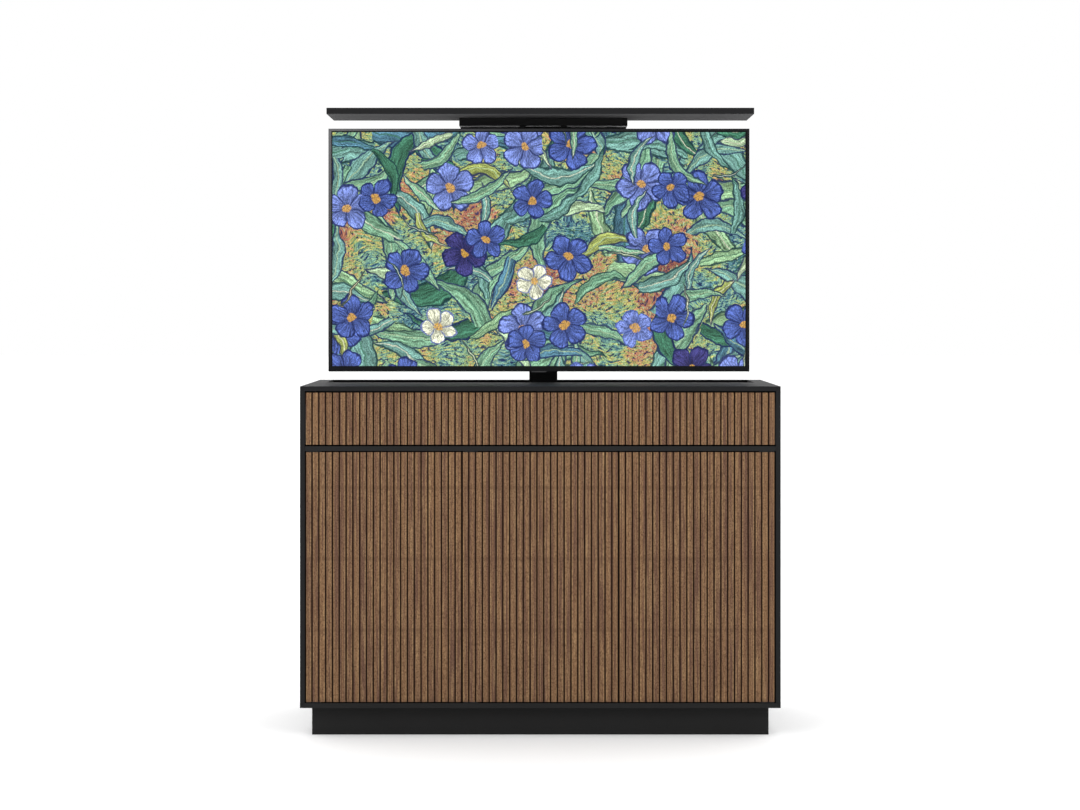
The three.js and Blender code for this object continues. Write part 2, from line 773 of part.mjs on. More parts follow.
// The hangers are channels that straddle the column, open to the outside.
const mountBottom = tvCentreZ - mountPlateHeight / 2;
const hangerBottom = mountBottom - hangerBelowPlate - bracketZ;
for (const side of [-1, 1]) {
  const near = side * (outerTubeWidth / 2 + hangerClearance);
  const web = near + side * hangerWall;
  const far = near + side * hangerWidth;
  const channel = [
    [near, 0],
    [far, 0],
    [far, hangerWall],
    [web, hangerWall],
    [web, hangerDepth - hangerWall],
    [far, hangerDepth - hangerWall],
    [far, hangerDepth],
    [near, hangerDepth],
  ];
  const hanger = extrudeUp(outline(channel), hangerBottom, -seam);
  piece(head, `${sideName(side)}_hanger_rail`, hanger, blackSteel).position.y = hangerY;
}

// The set hangs on a steel plate with two upright arms, bolted to the usual hole pattern.
function mountArm(centre) {
  const half = mountArmWidth / 2;
  const depth = mountArmDepth + mountPlateThickness / 2;
  const channel = [
    [centre - half, 0],
    [centre + half, 0],
    [centre + half, depth],
    [centre + half - mountPlateThickness, depth],
    [centre + half - mountPlateThickness, mountPlateThickness],
    [centre - half + mountPlateThickness, mountPlateThickness],
    [centre - half + mountPlateThickness, depth],
    [centre - half, depth],
  ];
  return extrudeUp(outline(channel), 0, mountPlateHeight);
}

const mountPlate = join(
  block(
    [-mountPlateWidth / 2, mountArmDepth, 0],
    [mountPlateWidth / 2, mountArmDepth + mountPlateThickness, mountPlateHeight],
  ),
  mountArm(-mountArmSpacing / 2),
  mountArm(mountArmSpacing / 2),
);
piece(groupAt(tvOffset, tvY + tvDepth + seam, mountBottom), "tv_mount_plate", mountPlate, blackSteel);

// The television: a metal frame, a glass screen let into it and a plastic back with a deeper lower housing.
const tv = groupAt(tvOffset, tvY, tvZ);
const halfTv = tvWidth / 2;
const glassHole = rectangle(-halfTv + bezelSide, bezelBottom, halfTv - bezelSide, tvHeight - bezelTop);
const bezel = outline(rectangle(-halfTv, 0, halfTv, tvHeight), [
  hole(glassHole),
]);
piece(tv, "tv_bezel", extrudeBack(bezel, 0, bezelDepth), bezelMetal);
const glass = block(
  [-halfTv + bezelSide + seam, glassSetback, bezelBottom + seam],
  [halfTv - bezelSide - seam, glassSetback + glassThickness, tvHeight - bezelTop - seam],
);
piece(tv, "tv_screen", glass, screenGlass);

const coverFront = bezelDepth + seam;
const slimRear = bezelDepth + slimDepth;
const housingTop = tvHeight - housingTopMargin;

// The back's slim tray, and its housing in side view, both drawn in by the same amount to hollow them.
function coverTray(inset, front) {
  const side = halfTv - coverMargin - inset;
  return block(
    [-side, front, coverMargin + inset],
    [side, slimRear - inset, tvHeight - coverMargin - inset],
  );
}

function coverHousing(inset, front) {
  const side = halfTv - housingSideMargin - inset;
  const profile = [
    [front, housingBottomMargin + inset],
    [tvDepth - inset, housingBottomMargin + housingSlope + inset],
    [tvDepth - inset, housingTop - housingSlope - inset],
    [front, housingTop - inset],
  ];
  return extrudeRight(outline(profile), -side, side);
}

const coverOuter = join(coverTray(0, coverFront), coverHousing(0, slimRear - coverWall / 2));
const coverInner = join(
  coverTray(coverWall, coverFront - overrun),
  coverHousing(coverWall, slimRear - coverWall - overrun),
);
piece(tv, "tv_rear_cover", geometryOf(solidOf(coverOuter).subtract(solidOf(coverInner))), blackPlastic);

// The lid rides on the bracket and fills the opening when the set is down.
const lid = block(
  [-lidWidth / 2, bayY + lidReveal, 0],
  [lidWidth / 2, backY - lidReveal, lidBoard],
);
piece(groupAt(0, 0, lidZ), "lid", lid, blackLaminate);

export default cabinet;
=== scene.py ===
import json
import math

import bmesh
import bpy
from mathutils import Matrix, Vector

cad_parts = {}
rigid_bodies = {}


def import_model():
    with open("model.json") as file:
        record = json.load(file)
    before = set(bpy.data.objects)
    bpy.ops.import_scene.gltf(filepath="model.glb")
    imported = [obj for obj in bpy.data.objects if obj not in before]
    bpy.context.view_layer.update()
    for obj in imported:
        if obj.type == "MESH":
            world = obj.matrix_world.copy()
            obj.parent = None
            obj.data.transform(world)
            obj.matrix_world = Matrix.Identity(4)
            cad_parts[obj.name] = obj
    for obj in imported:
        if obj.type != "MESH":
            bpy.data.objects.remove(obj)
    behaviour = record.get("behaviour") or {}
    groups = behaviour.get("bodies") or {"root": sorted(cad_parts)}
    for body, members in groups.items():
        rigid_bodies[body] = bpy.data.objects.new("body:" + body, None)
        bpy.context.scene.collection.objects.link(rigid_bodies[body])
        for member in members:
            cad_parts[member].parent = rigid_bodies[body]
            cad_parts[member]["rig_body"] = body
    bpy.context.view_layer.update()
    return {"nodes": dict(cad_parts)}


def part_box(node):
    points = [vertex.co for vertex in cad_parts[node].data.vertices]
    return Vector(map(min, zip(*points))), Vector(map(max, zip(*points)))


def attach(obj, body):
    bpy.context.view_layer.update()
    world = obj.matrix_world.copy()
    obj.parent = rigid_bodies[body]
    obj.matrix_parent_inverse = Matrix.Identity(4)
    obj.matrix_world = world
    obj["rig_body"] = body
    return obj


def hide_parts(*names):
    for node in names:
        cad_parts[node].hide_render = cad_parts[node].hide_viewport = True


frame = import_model()
cad_nodes = frame["nodes"]


# The camera stands at eye level in front of the cabinet and looks straight back, so that uprights
# stay parallel. Its lens is shifted down to take in the floor.

mm = 0.001
image_width = 1080
middle_pixel = 405
horizon_pixel = 306.6
centre_pixel = 540.3
focal_pixels = 1895.5
sensor_width = 36
eye_distance = 5243 * mm
eye_above_top = 220.6 * mm

top_low, top_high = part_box("top_panel")
camera_data = bpy.data.cameras.new("camera")
camera_data.sensor_width = sensor_width
camera_data.lens = focal_pixels / image_width * sensor_width
camera_data.shift_x = (image_width / 2 - centre_pixel) / image_width
camera_data.shift_y = (horizon_pixel - middle_pixel) / image_width
camera = bpy.data.objects.new("camera", camera_data)
bpy.context.scene.collection.objects.link(camera)
camera.location = (0, top_low.y - eye_distance, top_high.z + eye_above_top)
camera.rotation_euler = (math.radians(90), 0, 0)
bpy.context.scene.camera = camera
bpy.context.scene.view_settings.view_transform = "Standard"


# The studio is a white room with a white floor. It is brightest behind the cabinet and dim behind
# the camera, so that black boards stay black. Two large soft lights stand in front.


def fed(tree, socket, value):
    """Gives a socket a number, a colour triple, a vector or another node's output."""
    if isinstance(value, bpy.types.NodeSocket):
        tree.links.new(value, socket)
    elif isinstance(value, tuple) and socket.type == "RGBA":
        socket.default_value = (*value, 1)
    else:
        socket.default_value = value


def wired(tree, node, **values):
    """Feeds a node's inputs by name. Base_Color=red feeds the input "Base Color"."""
    for label, value in values.items():
        fed(tree, node.inputs[label.replace("_", " ")], value)
    return node


def axes(tree, vector):
    """A vector's three parts, by the names X, Y and Z."""
    return wired(tree, tree.nodes.new("ShaderNodeSeparateXYZ"), Vector=vector).outputs


def stepped(tree, value, low, high, to_low=0.0, to_high=1.0, smooth=False):
    """A value moved from one range to another and held at its ends."""
    node = tree.nodes.new("ShaderNodeMapRange")
    node.interpolation_type = "SMOOTHSTEP" if smooth else "LINEAR"
    wired(tree, node, Value=value, From_Min=low, From_Max=high, To_Min=to_low, To_Max=to_high)
    return node.outputs["Result"]


def new_material(name):
    """A material with its first nodes."""
    material = bpy.data.materials.new(name)
    material.use_nodes = True
    return material


def shader_of(material):
    """A material's Principled shader."""
    return material.node_tree.nodes["Principled BSDF"]


def shaded(material, **values):
    """Feeds the inputs of a material's Principled shader by name."""
    wired(material.node_tree, shader_of(material), **values)
    return material


room_back_light = 1.8
room_front_light = 0.24
room_turn = (-0.85, 0.25)

world = bpy.data.worlds.new("studio")
bpy.context.scene.world = world
world.use_nodes = True
room = world.node_tree
backward = axes(room, room.nodes.new("ShaderNodeTexCoord").outputs["Generated"])["Y"]
room_light = stepped(room, backward, *room_turn, room_front_light, room_back_light, smooth=True)
seen = room.nodes.new("ShaderNodeLightPath").outputs["Is Camera Ray"]
seen_white = wired(room, room.nodes.new("ShaderNodeMix"), Factor=seen, A=room_light, B=1)
wired(room, room.nodes["Background"], Color=(1, 1, 1), Strength=seen_white.outputs["Result"])

floor_reach = 40
floor_tone = 0.8
floor_glow = 0.2
floor_roughness = 0.9
floor_mesh = bmesh.new()
bmesh.ops.create_grid(floor_mesh, x_segments=1, y_segments=1, size=floor_reach)
floor_data = bpy.data.meshes.new("floor")
floor_mesh.to_mesh(floor_data)
floor_mesh.free()
floor = bpy.data.objects.new("floor", floor_data)
floor_white = shaded(
    new_material("floor_white"),
    Base_Color=(floor_tone, floor_tone, floor_tone),
    Roughness=floor_roughness,
    Specular_IOR_Level=0,
    Emission_Color=(1, 1, 1),
    Emission_Strength=floor_glow,
)
floor_data.materials.append(floor_white)
bpy.context.scene.collection.objects.link(floor)

light_aim = Vector((0, 0, 0.8))
light_width = 2.4
light_height = 2.0
for light_name, light_place, light_power in (
    ("softbox_left", Vector((-2.8, -3.4, 3.4)), 56),
    ("softbox_right", Vector((3.0, -3.4, 3.2)), 48),
):
    light = bpy.data.lights.new(light_name, "AREA")
    light.shape = "RECTANGLE"
    light.size = light_width
    light.size_y = light_height
    light.energy = light_power
    lamp = bpy.data.objects.new(light_name, light)
    lamp.location = light_place
    lamp.rotation_euler = (light_aim - light_place).to_track_quat("-Z", "Y").to_euler()
    bpy.context.scene.collection.objects.link(lamp)


# The carcass is fibreboard faced with matt black laminate: two sides, a U-shaped top and a bottom,
# mitred and glued, and inside them the flap shelf, the lift bay's partition and the dividers.
# Edges are finely eased, and the outer bays are bored for shelf pins.


def named_group(name, inputs, outputs):
    """A shader node group, what it is given and its output node. An input of None is a vector."""
    group = bpy.data.node_groups.new(name, "ShaderNodeTree")
    for label, value in inputs.items():
        kind = "NodeSocketVector" if value is None else "NodeSocketFloat"
        socket = group.interface.new_socket(name=label, in_out="INPUT", socket_type=kind)
        if value is not None:
            socket.default_value = value
    for label in outputs:
        group.interface.new_socket(name=label, in_out="OUTPUT", socket_type="NodeSocketFloat")
    given = group.nodes.new("NodeGroupInput").outputs
    return group, given, group.nodes.new("NodeGroupOutput")


def placed_group(tree, group, **values):
    """The outputs of a group placed in a material."""
    node = tree.nodes.new("ShaderNodeGroup")
    node.node_tree = group
    return wired(tree, node, **values).outputs


def sum_of(tree, operation, *operands, clamp=False):
    """A Math node's output."""
    node = tree.nodes.new("ShaderNodeMath")
    node.operation = operation
    node.use_clamp = clamp
    for socket, operand in zip(node.inputs, operands):
        fed(tree, socket, operand)
    return node.outputs["Value"]


def mixed(tree, factor, first, second, blend="MIX"):
    """The colour between two colours."""
    node = tree.nodes.new("ShaderNodeMix")
    node.data_type = "RGBA"
    node.blend_type = blend
    fed(tree, node.inputs["Factor"], factor)
    fed(tree, node.inputs[6], first)
    fed(tree, node.inputs[7], second)
    return node.outputs[2]


def noise(tree, vector, scale, detail=2.0, roughness=0.5):
    """The output of a Noise texture."""
    node = tree.nodes.new("ShaderNodeTexNoise")
    wired(tree, node, Vector=vector, Scale=scale, Detail=detail, Roughness=roughness)
    return node.outputs["Fac"]


def object_place(tree):
    """A point's place on its piece."""
    return tree.nodes.new("ShaderNodeTexCoord").outputs["Object"]


def screen_colour(red, green, blue):
    """A linear colour from a colour of 0 to 255 a channel."""
    shares = [value / 255 for value in (red, green, blue)]
    return tuple(s / 12.92 if s <= 0.04045 else ((s + 0.055) / 1.055) ** 2.4 for s in shares)


bump_strength = 0.5


def raised(tree, height, distance):
    """The normal of a surface raised by a height map."""
    bump = tree.nodes.new("ShaderNodeBump")
    wired(tree, bump, Strength=bump_strength, Distance=distance, Height=height)
    return bump.outputs["Normal"]


cloud_detail = 4
cloud_roughness = 0.55
rub_range = (0.55, 0.75)
fine_surface, fine_given, fine_result = named_group(
    "fine_surface", {"Cloud Scale": 6, "Texture Scale": 900}, ("Cloud", "Rub", "Texture")
)
fine_place = object_place(fine_surface)
fine_scale = fine_given["Cloud Scale"]
fine_cloud = noise(fine_surface, fine_place, fine_scale, cloud_detail, cloud_roughness)
wired(
    fine_surface,
    fine_result,
    Cloud=fine_cloud,
    Rub=stepped(fine_surface, fine_cloud, *rub_range),
    Texture=noise(fine_surface, fine_place, fine_given["Texture Scale"]),
)

gloss_spread = 0.14
rub_polish = 0.06


def coated(name, colour, lighter, roughness, texture_scale, texture_height, specular=0.5):
    """A matt coating with a cloudy tone and gloss, a few rubbed places and a fine raised texture.

    Both its colours are of 0 to 255 a channel.
    """
    material = new_material(name)
    tree = material.node_tree
    surface = placed_group(tree, fine_surface, Texture_Scale=texture_scale)
    cloud = surface["Cloud"]
    gloss = sum_of(tree, "MULTIPLY_ADD", cloud, gloss_spread, roughness - gloss_spread / 2)
    return shaded(
        material,
        Base_Color=mixed(tree, cloud, screen_colour(*colour), screen_colour(*lighter)),
        Roughness=sum_of(tree, "MULTIPLY_ADD", surface["Rub"], -rub_polish, gloss),
        Normal=raised(tree, surface["Texture"], texture_height),
        Specular_IOR_Level=specular,
    )


# The laminate's roughness, texture scale, texture height and specular level. The bottom, the flap
# shelf and the plinth are painted slightly paler than the other boards: painted light against their
# shade.

laminate = (0.6, 1400, 0.03 * mm, 0.05)
black_laminate = coated("black_laminate", (33, 33, 34), (38, 38, 39), *laminate)
painted_light_laminate = coated("painted_light_laminate", (37, 37, 37), (42, 42, 42), *laminate)

sharp_angle = math.radians(30)
smooth_angle = math.radians(40)
flat_angle = math.radians(1)
join_distance = 0.01 * mm


def whole_faces(mesh):
    """Joins a bmesh's split corners and makes its flat faces whole."""
    bmesh.ops.remove_doubles(mesh, verts=mesh.verts, dist=join_distance)
    bmesh.ops.dissolve_limit(mesh, angle_limit=flat_angle, verts=mesh.verts, edges=mesh.edges)
    return mesh


def node_mesh(node):
    """A CAD node's shape as a bmesh."""
    data = cad_nodes[node].data.copy()
    data.attributes.remove(data.attributes["custom_normal"])
    mesh = bmesh.new()
    mesh.from_mesh(data)
    bpy.data.meshes.remove(data)
    return whole_faces(mesh)


def eased(mesh, width, segments=2):
    """Rounds the sharp edges of a bmesh."""
    bmesh.ops.recalc_face_normals(mesh, faces=mesh.faces)
    sharp = [e for e in mesh.edges if len(e.link_faces) == 2 and e.calc_face_angle(0) > sharp_angle]
    bmesh.ops.bevel(
        mesh,
        geom=sharp,
        offset=width,
        offset_type="OFFSET",
        segments=segments,
        profile=0.5,
        affect="EDGES",
        clamp_overlap=True,
    )
    return mesh


def finished(name, mesh, material, body, replaced=()):
    """Makes a piece of a bmesh: its material and body, and the CAD nodes it stands for."""
    bmesh.ops.recalc_face_normals(mesh, faces=mesh.faces)
    data = bpy.data.meshes.new(name)
    mesh.to_mesh(data)
    mesh.free()
    data.shade_smooth()
    data.set_sharp_from_angle(angle=smooth_angle)
    data.materials.clear()
    data.materials.append(material)
    piece = bpy.data.objects.new(name, data)
    bpy.context.scene.collection.objects.link(piece)
    piece.modifiers.new("flat_faces", "WEIGHTED_NORMAL").keep_sharp = True
    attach(piece, body)
    if replaced:
        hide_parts(*replaced)


def body_of(node):
    """The body that a CAD node rides on."""
    return cad_nodes[node]["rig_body"]


def dressed(node, suffix, mesh, material):
    """Finishes a piece that stands for one CAD node and rides where it rides."""
    finished(f"{node}_{suffix}", mesh, material, body_of(node), [node])


def eased_node(node, suffix, width, material, segments=2):
    """Finishes a CAD node in its own shape, with its edges rounded."""
    dressed(node, suffix, eased(node_mesh(node), width, segments), material)


def carved(mesh, cutter):
    """Cuts one bmesh out of another."""
    solids = []
    for part in (mesh, cutter):
        bmesh.ops.recalc_face_normals(part, faces=part.faces)
        data = bpy.data.meshes.new("carving")
        part.to_mesh(data)
        part.free()
        solids.append(bpy.data.objects.new("carving", data))
        bpy.context.scene.collection.objects.link(solids[-1])
    cut = solids[0].modifiers.new("cut", "BOOLEAN")
    cut.operation = "DIFFERENCE"
    cut.solver = "EXACT"
    cut.object = solids[1]
    result = bmesh.new()
    result.from_object(solids[0], bpy.context.evaluated_depsgraph_get())
    for solid in solids:
        data = solid.data
        bpy.data.objects.remove(solid)
        bpy.data.meshes.remove(data)
    return whole_faces(result)


def rod(mesh, start, end, radius, sides=24):
    """Adds a round bar between two points."""
    start, end = Vector(start), Vector(end)
    turn = (end - start).to_track_quat("Z", "Y").to_matrix().to_4x4()
    bmesh.ops.create_cone(
        mesh,
        cap_ends=True,
        segments=sides,
        radius1=radius,
        radius2=radius,
        depth=(end - start).length,
        matrix=Matrix.Translation((start + end) / 2) @ turn,
    )


board_ease = 0.7 * mm
pin_hole_radius = 2.6 * mm
pin_hole_depth = 10 * mm
pin_hole_pitch = 32 * mm
pin_hole_steps = range(-4, 5)
pin_hole_sides = 12
pin_setback = 37 * mm
pin_radius = 2.5 * mm
cut_overrun = 1 * mm

for node in ("top_panel", "bay_partition", "left_shelf", "right_shelf"):
    eased_node(node, "board", board_ease, black_laminate)
# The bottom and the flap shelf take the paler laminate: painted light against their shade.
for node in ("bottom_panel", "flap_shelf"):
    eased_node(node, "board", board_ease, painted_light_laminate)


def bored_faces(side, away):
    """The boards on both sides of an outer bay: each node, its bored face and the way into it."""
    divider = f"{side}_divider"
    shelf_box, divider_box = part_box(f"{side}_shelf"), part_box(divider)
    outer = 0 if away < 0 else 1
    return (
        (f"{side}_side_panel", shelf_box[outer].x, away),
        (divider, divider_box[outer].x, -away),
    )


for side, away in (("left", -1), ("right", 1)):
    shelf_low, shelf_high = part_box(f"{side}_shelf")
    for node, face_x, inward in bored_faces(side, away):
        holes = bmesh.new()
        for y in (shelf_low.y + pin_setback, shelf_high.y - pin_setback):
            for step in pin_hole_steps:
                z = shelf_low.z - pin_radius + step * pin_hole_pitch
                mouth = (face_x - inward * cut_overrun, y, z)
                root = (face_x + inward * pin_hole_depth, y, z)
                rod(holes, mouth, root, pin_hole_radius, pin_hole_sides)
        board = carved(eased(node_mesh(node), board_ease), holes)
        dressed(node, "board", board, black_laminate)


# Each shelf rests on four zinc-plated steel pins, pushed into the bored rows. A collar on each pin
# stops it at the board's face.

line_detail = 4
line_roughness = 0.6
line_dark_share = 0.8
line_gloss = (0.18, 0.12)
line_height = 0.01 * mm
cloud_gloss = 0.1


def vector_of(tree, operation, *operands, **values):
    """A Vector Math node's output. Operands are fed in order, and values by name."""
    node = tree.nodes.new("ShaderNodeVectorMath")
    node.operation = operation
    for socket, operand in zip(node.inputs, operands):
        fed(tree, socket, operand)
    return wired(tree, node, **values).outputs["Vector"]


def metal(name, colour, roughness, streak, streak_scale, metallic=1.0):
    """Bare or plated metal, with faint streaks along one axis and a cloudy gloss."""
    material = new_material(name)
    tree = material.node_tree
    stretched = vector_of(tree, "MULTIPLY", object_place(tree), streak)
    lines = noise(tree, stretched, streak_scale, line_detail, line_roughness)
    cloud = placed_group(tree, fine_surface)["Cloud"]
    darker = tuple(channel * line_dark_share for channel in colour)
    gloss_rise, gloss_drop = line_gloss
    gloss = sum_of(tree, "MULTIPLY_ADD", lines, gloss_rise, roughness - gloss_drop)
    return shaded(
        material,
        Base_Color=mixed(tree, lines, darker, colour),
        Roughness=sum_of(tree, "MULTIPLY_ADD", cloud, cloud_gloss, gloss),
        Normal=raised(tree, lines, line_height),
        Metallic=metallic,
    )


zinc_plate = metal("zinc_plate", (0.6, 0.61, 0.62), 0.32, (1, 1, 0.15), 900)

pin_reach = 9 * mm
pin_plug = 8 * mm
pin_collar_radius = 4 * mm
pin_collar = 1.4 * mm
pin_ease = 0.4 * mm
pin_gap = 0.1 * mm

for side, away in (("left", -1), ("right", 1)):
    shelf_low, shelf_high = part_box(f"{side}_shelf")
    pin_z = shelf_low.z - pin_radius - pin_gap
    collar_z = pin_z + pin_radius - pin_collar_radius
    pins = bmesh.new()
    for node, face_x, inward in bored_faces(side, away):
        for y in (shelf_low.y + pin_setback, shelf_high.y - pin_setback):
            root = (face_x + inward * pin_plug, y, pin_z)
            rod(pins, root, (face_x - inward * pin_reach, y, pin_z), pin_radius - pin_gap)
            collar_face = (face_x - inward * (pin_gap + pin_collar), y, collar_z)
            rod(pins, (face_x - inward * pin_gap, y, collar_z), collar_face, pin_collar_radius)
    finished(f"{side}_shelf_pins", eased(pins, pin_ease), zinc_plate, "carcass")


# The plinth is four boards of the same laminate, painted a little paler as painted light against
# their shade, and set back under the carcass. They are glued at the corners and screwed up into the
# bottom.

for node in ("plinth_front", "plinth_rear", "plinth_left", "plinth_right"):
    eased_node(node, "board", board_ease, painted_light_laminate)


# The back panel and its access cover are thin dyed fibreboard, darkened as painted shade for the
# dark lift bay. The cover closes its hole from inside with eight screws, and a plastic bush lines
# the cable outlet.

cross_arm_share = 0.3
screw_sides = 32
screw_profile_shares = (
    (1, 0, False),
    (1, 0.5, False),
    (0.82, 0.9, False),
    (0.66, 1, False),
    (0.5, 1, True),
    (0.4, 0.25, True),
)


def recess_share(kind, angle):
    """How far a screw's recess reaches at an angle, as a share of its longest reach."""
    if kind == "hex":
        sixth = math.pi / 3
        return math.cos(sixth / 2) / math.cos(angle % sixth - sixth / 2)
    quarter = math.pi / 2
    fold = abs((angle + quarter / 2) % quarter - quarter / 2)
    if math.tan(fold) <= cross_arm_share:
        return 1 / math.cos(fold)
    return cross_arm_share / math.sin(fold)


def skinned(mesh, loops, capped=True):
    """Closes a skin over loops of corners, with a face over each end."""
    for lower, upper in zip(loops, loops[1:]):
        for index in range(len(lower)):
            after = (index + 1) % len(lower)
            mesh.faces.new((lower[index], lower[after], upper[after], upper[index]))
    if capped:
        mesh.faces.new(loops[-1])
        mesh.faces.new(list(reversed(loops[0])))


def screw(mesh, place, direction, radius, rise, recess="cross"):
    """Adds a screw's head, with its recess, at a point on a face."""
    turn = Vector(direction).to_track_quat("Z", "Y").to_matrix().to_4x4()
    matrix = Matrix.Translation(place) @ turn
    loops = []
    for radius_share, rise_share, shaped in screw_profile_shares:
        loop = []
        for index in range(screw_sides):
            angle = math.tau * index / screw_sides
            reach = radius * radius_share * (recess_share(recess, angle) if shaped else 1)
            point = Vector((reach * math.cos(angle), reach * math.sin(angle), rise * rise_share))
            loop.append(mesh.verts.new(matrix @ point))
        loops.append(loop)
    skinned(mesh, loops)


def screws(places, direction, radius, rise, recess="cross"):
    """A bmesh of like screws that point the same way."""
    mesh = bmesh.new()
    for place in places:
        screw(mesh, place, direction, radius, rise, recess)
    return mesh


def rim_places(node, inset, across, up):
    """Points spaced along the rim of an upright board: the x and z of each."""
    low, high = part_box(node)
    places = []
    for column in range(across):
        for row in range(up):
            if 0 < column < across - 1 and 0 < row < up - 1:
                continue
            x = low.x + inset + column / (across - 1) * (high.x - low.x - 2 * inset)
            z = low.z + inset + row / (up - 1) * (high.z - low.z - 2 * inset)
            places.append((x, z))
    return places


# The dyed board's tone is set darker than the laminate's: dyed board, with painted shade so that
# the lift bay looks dark.
dyed_and_shaded_board = coated("dyed_and_shaded_board", (15, 15, 15), (21, 20, 20), 0.8, 2600, 0.06 * mm, 0.15)
moulded_black = coated("moulded_black", (21, 22, 24), (27, 28, 30), 0.5, 1800, 0.04 * mm)
black_zinc = metal("black_zinc", (0.025, 0.025, 0.027), 0.45, (1, 1, 1), 500, 0.7)

panel_ease = 0.5 * mm
for node in ("back_panel", "back_access_cover"):
    eased_node(node, "board", panel_ease, dyed_and_shaded_board)

panel_screw_inset = 8 * mm
panel_screw_radius = 3.4 * mm
panel_screw_rise = 0.5 * mm
panel_screw_grid = (7, 5)
back_low, back_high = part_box("back_panel")
panel_rim = rim_places("back_panel", panel_screw_inset, *panel_screw_grid)
places = [(x, back_high.y, z) for x, z in panel_rim]
panel_screws = screws(places, (0, 1, 0), panel_screw_radius, panel_screw_rise)
finished("back_panel_screws", panel_screws, black_zinc, body_of("back_panel"))

cover_screw_inset = 10 * mm
cover_screw_radius = 3.6 * mm
cover_screw_rise = 1.6 * mm
cover_screw_grid = (3, 3)
cover_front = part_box("back_access_cover")[0].y
cover_rim = rim_places("back_access_cover", cover_screw_inset, *cover_screw_grid)
places = [(x, cover_front, z) for x, z in cover_rim]
cover_screws = screws(places, (0, -1, 0), cover_screw_radius, cover_screw_rise)
finished("back_access_cover_screws", cover_screws, black_zinc, "carcass")

outlet_width = 120 * mm
outlet_height = 44 * mm
outlet_side_gap = 92 * mm
outlet_floor_gap = 40 * mm
bush_wall = 2 * mm
bush_flange = 6 * mm
bush_rise = 1.6 * mm
bush_gap = 0.3 * mm
bush_lift = bush_gap / 3
outlet_right = back_high.x + bush_gap - outlet_side_gap
outlet_left = outlet_right - outlet_width
outlet_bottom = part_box("bottom_panel")[1].z + outlet_floor_gap
outlet_top = outlet_bottom + outlet_height

bush = bmesh.new()
bush_loops = []
for grow, y in (
    (bush_flange, back_high.y + bush_rise),
    (bush_flange, back_high.y + bush_lift),
    (-bush_gap, back_high.y + bush_lift),
    (-bush_gap, back_low.y),
    (-bush_wall, back_low.y),
    (-bush_wall, back_high.y + bush_rise),
):
    left, right = outlet_left - grow, outlet_right + grow
    bottom, top = outlet_bottom - grow, outlet_top + grow
    corners = ((left, y, bottom), (right, y, bottom), (right, y, top), (left, y, top))
    bush_loops.append([bush.verts.new(corner) for corner in corners])
skinned(bush, bush_loops + bush_loops[:1], capped=False)
finished("cable_outlet_bush", eased(bush, panel_ease), moulded_black, "carcass")


# Each door is faced with a walnut slat panel: upright slats on a thin web, veneered and oiled,
# glued to the door's core. The flap has the same slats, in line with the doors' slats.

slats_across = 69
slats_in_door = 23
groove_width = 2.8 * mm
slat_ease = 0.45 * mm
flap_low, flap_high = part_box("flap_slats")
slat_pitch = (flap_high.x - flap_low.x + groove_width) / slats_across

walnut_grain_and_shading, grain_given, grain_result = named_group(
    "walnut_grain_and_shading",
    {
        "Row Start": 0,
        "Slat Pitch": 0.02,
        "Groove Width": 0.003,
        "Edge Fade": 0.001,
        "Front Slats": 23,
        "Seam Shade": 0,
        "Row Marks": 0,
        "Row Height": 0.2,
    },
    ("Bands", "Streaks", "Flecks", "Pores", "Groove"),
)

# Each grain's share along the slat, shift from slat to slat, scale, detail and roughness.
band_grain = (0.01, 0.7, 190, 2.5, 0.6)
streak_grain = (0.02, 0.4, 430, 2, 0.55)
fleck_grain = (0.45, 0.3, 400, 4, 0.85)
pore_grain = (0.1, 0.2, 1300, 1, 0.5)

band_range = (0.42, 0.58)
pore_range = (0.6, 0.72)
fleck_range = (0.44, 0.61)
streak_range = (0.52, 0.68, 0, 0.85)
mark_height_range = (0.015, 0.045, 1, 0)
mark_streak_range = (0.42, 0.6)
# A thin painted highlight lies along one edge of some slats: where it starts and ends past the
# groove, and which slats take it.
highlight_streak_range = (0.38, 0.55)
highlight_start_range = (1.2 * mm, 2 * mm)
highlight_end_range = (3 * mm, 4.2 * mm, 1, 0)
left_highlight_below = 0.4
right_highlight_above = 0.45
seam_reach = 0.4


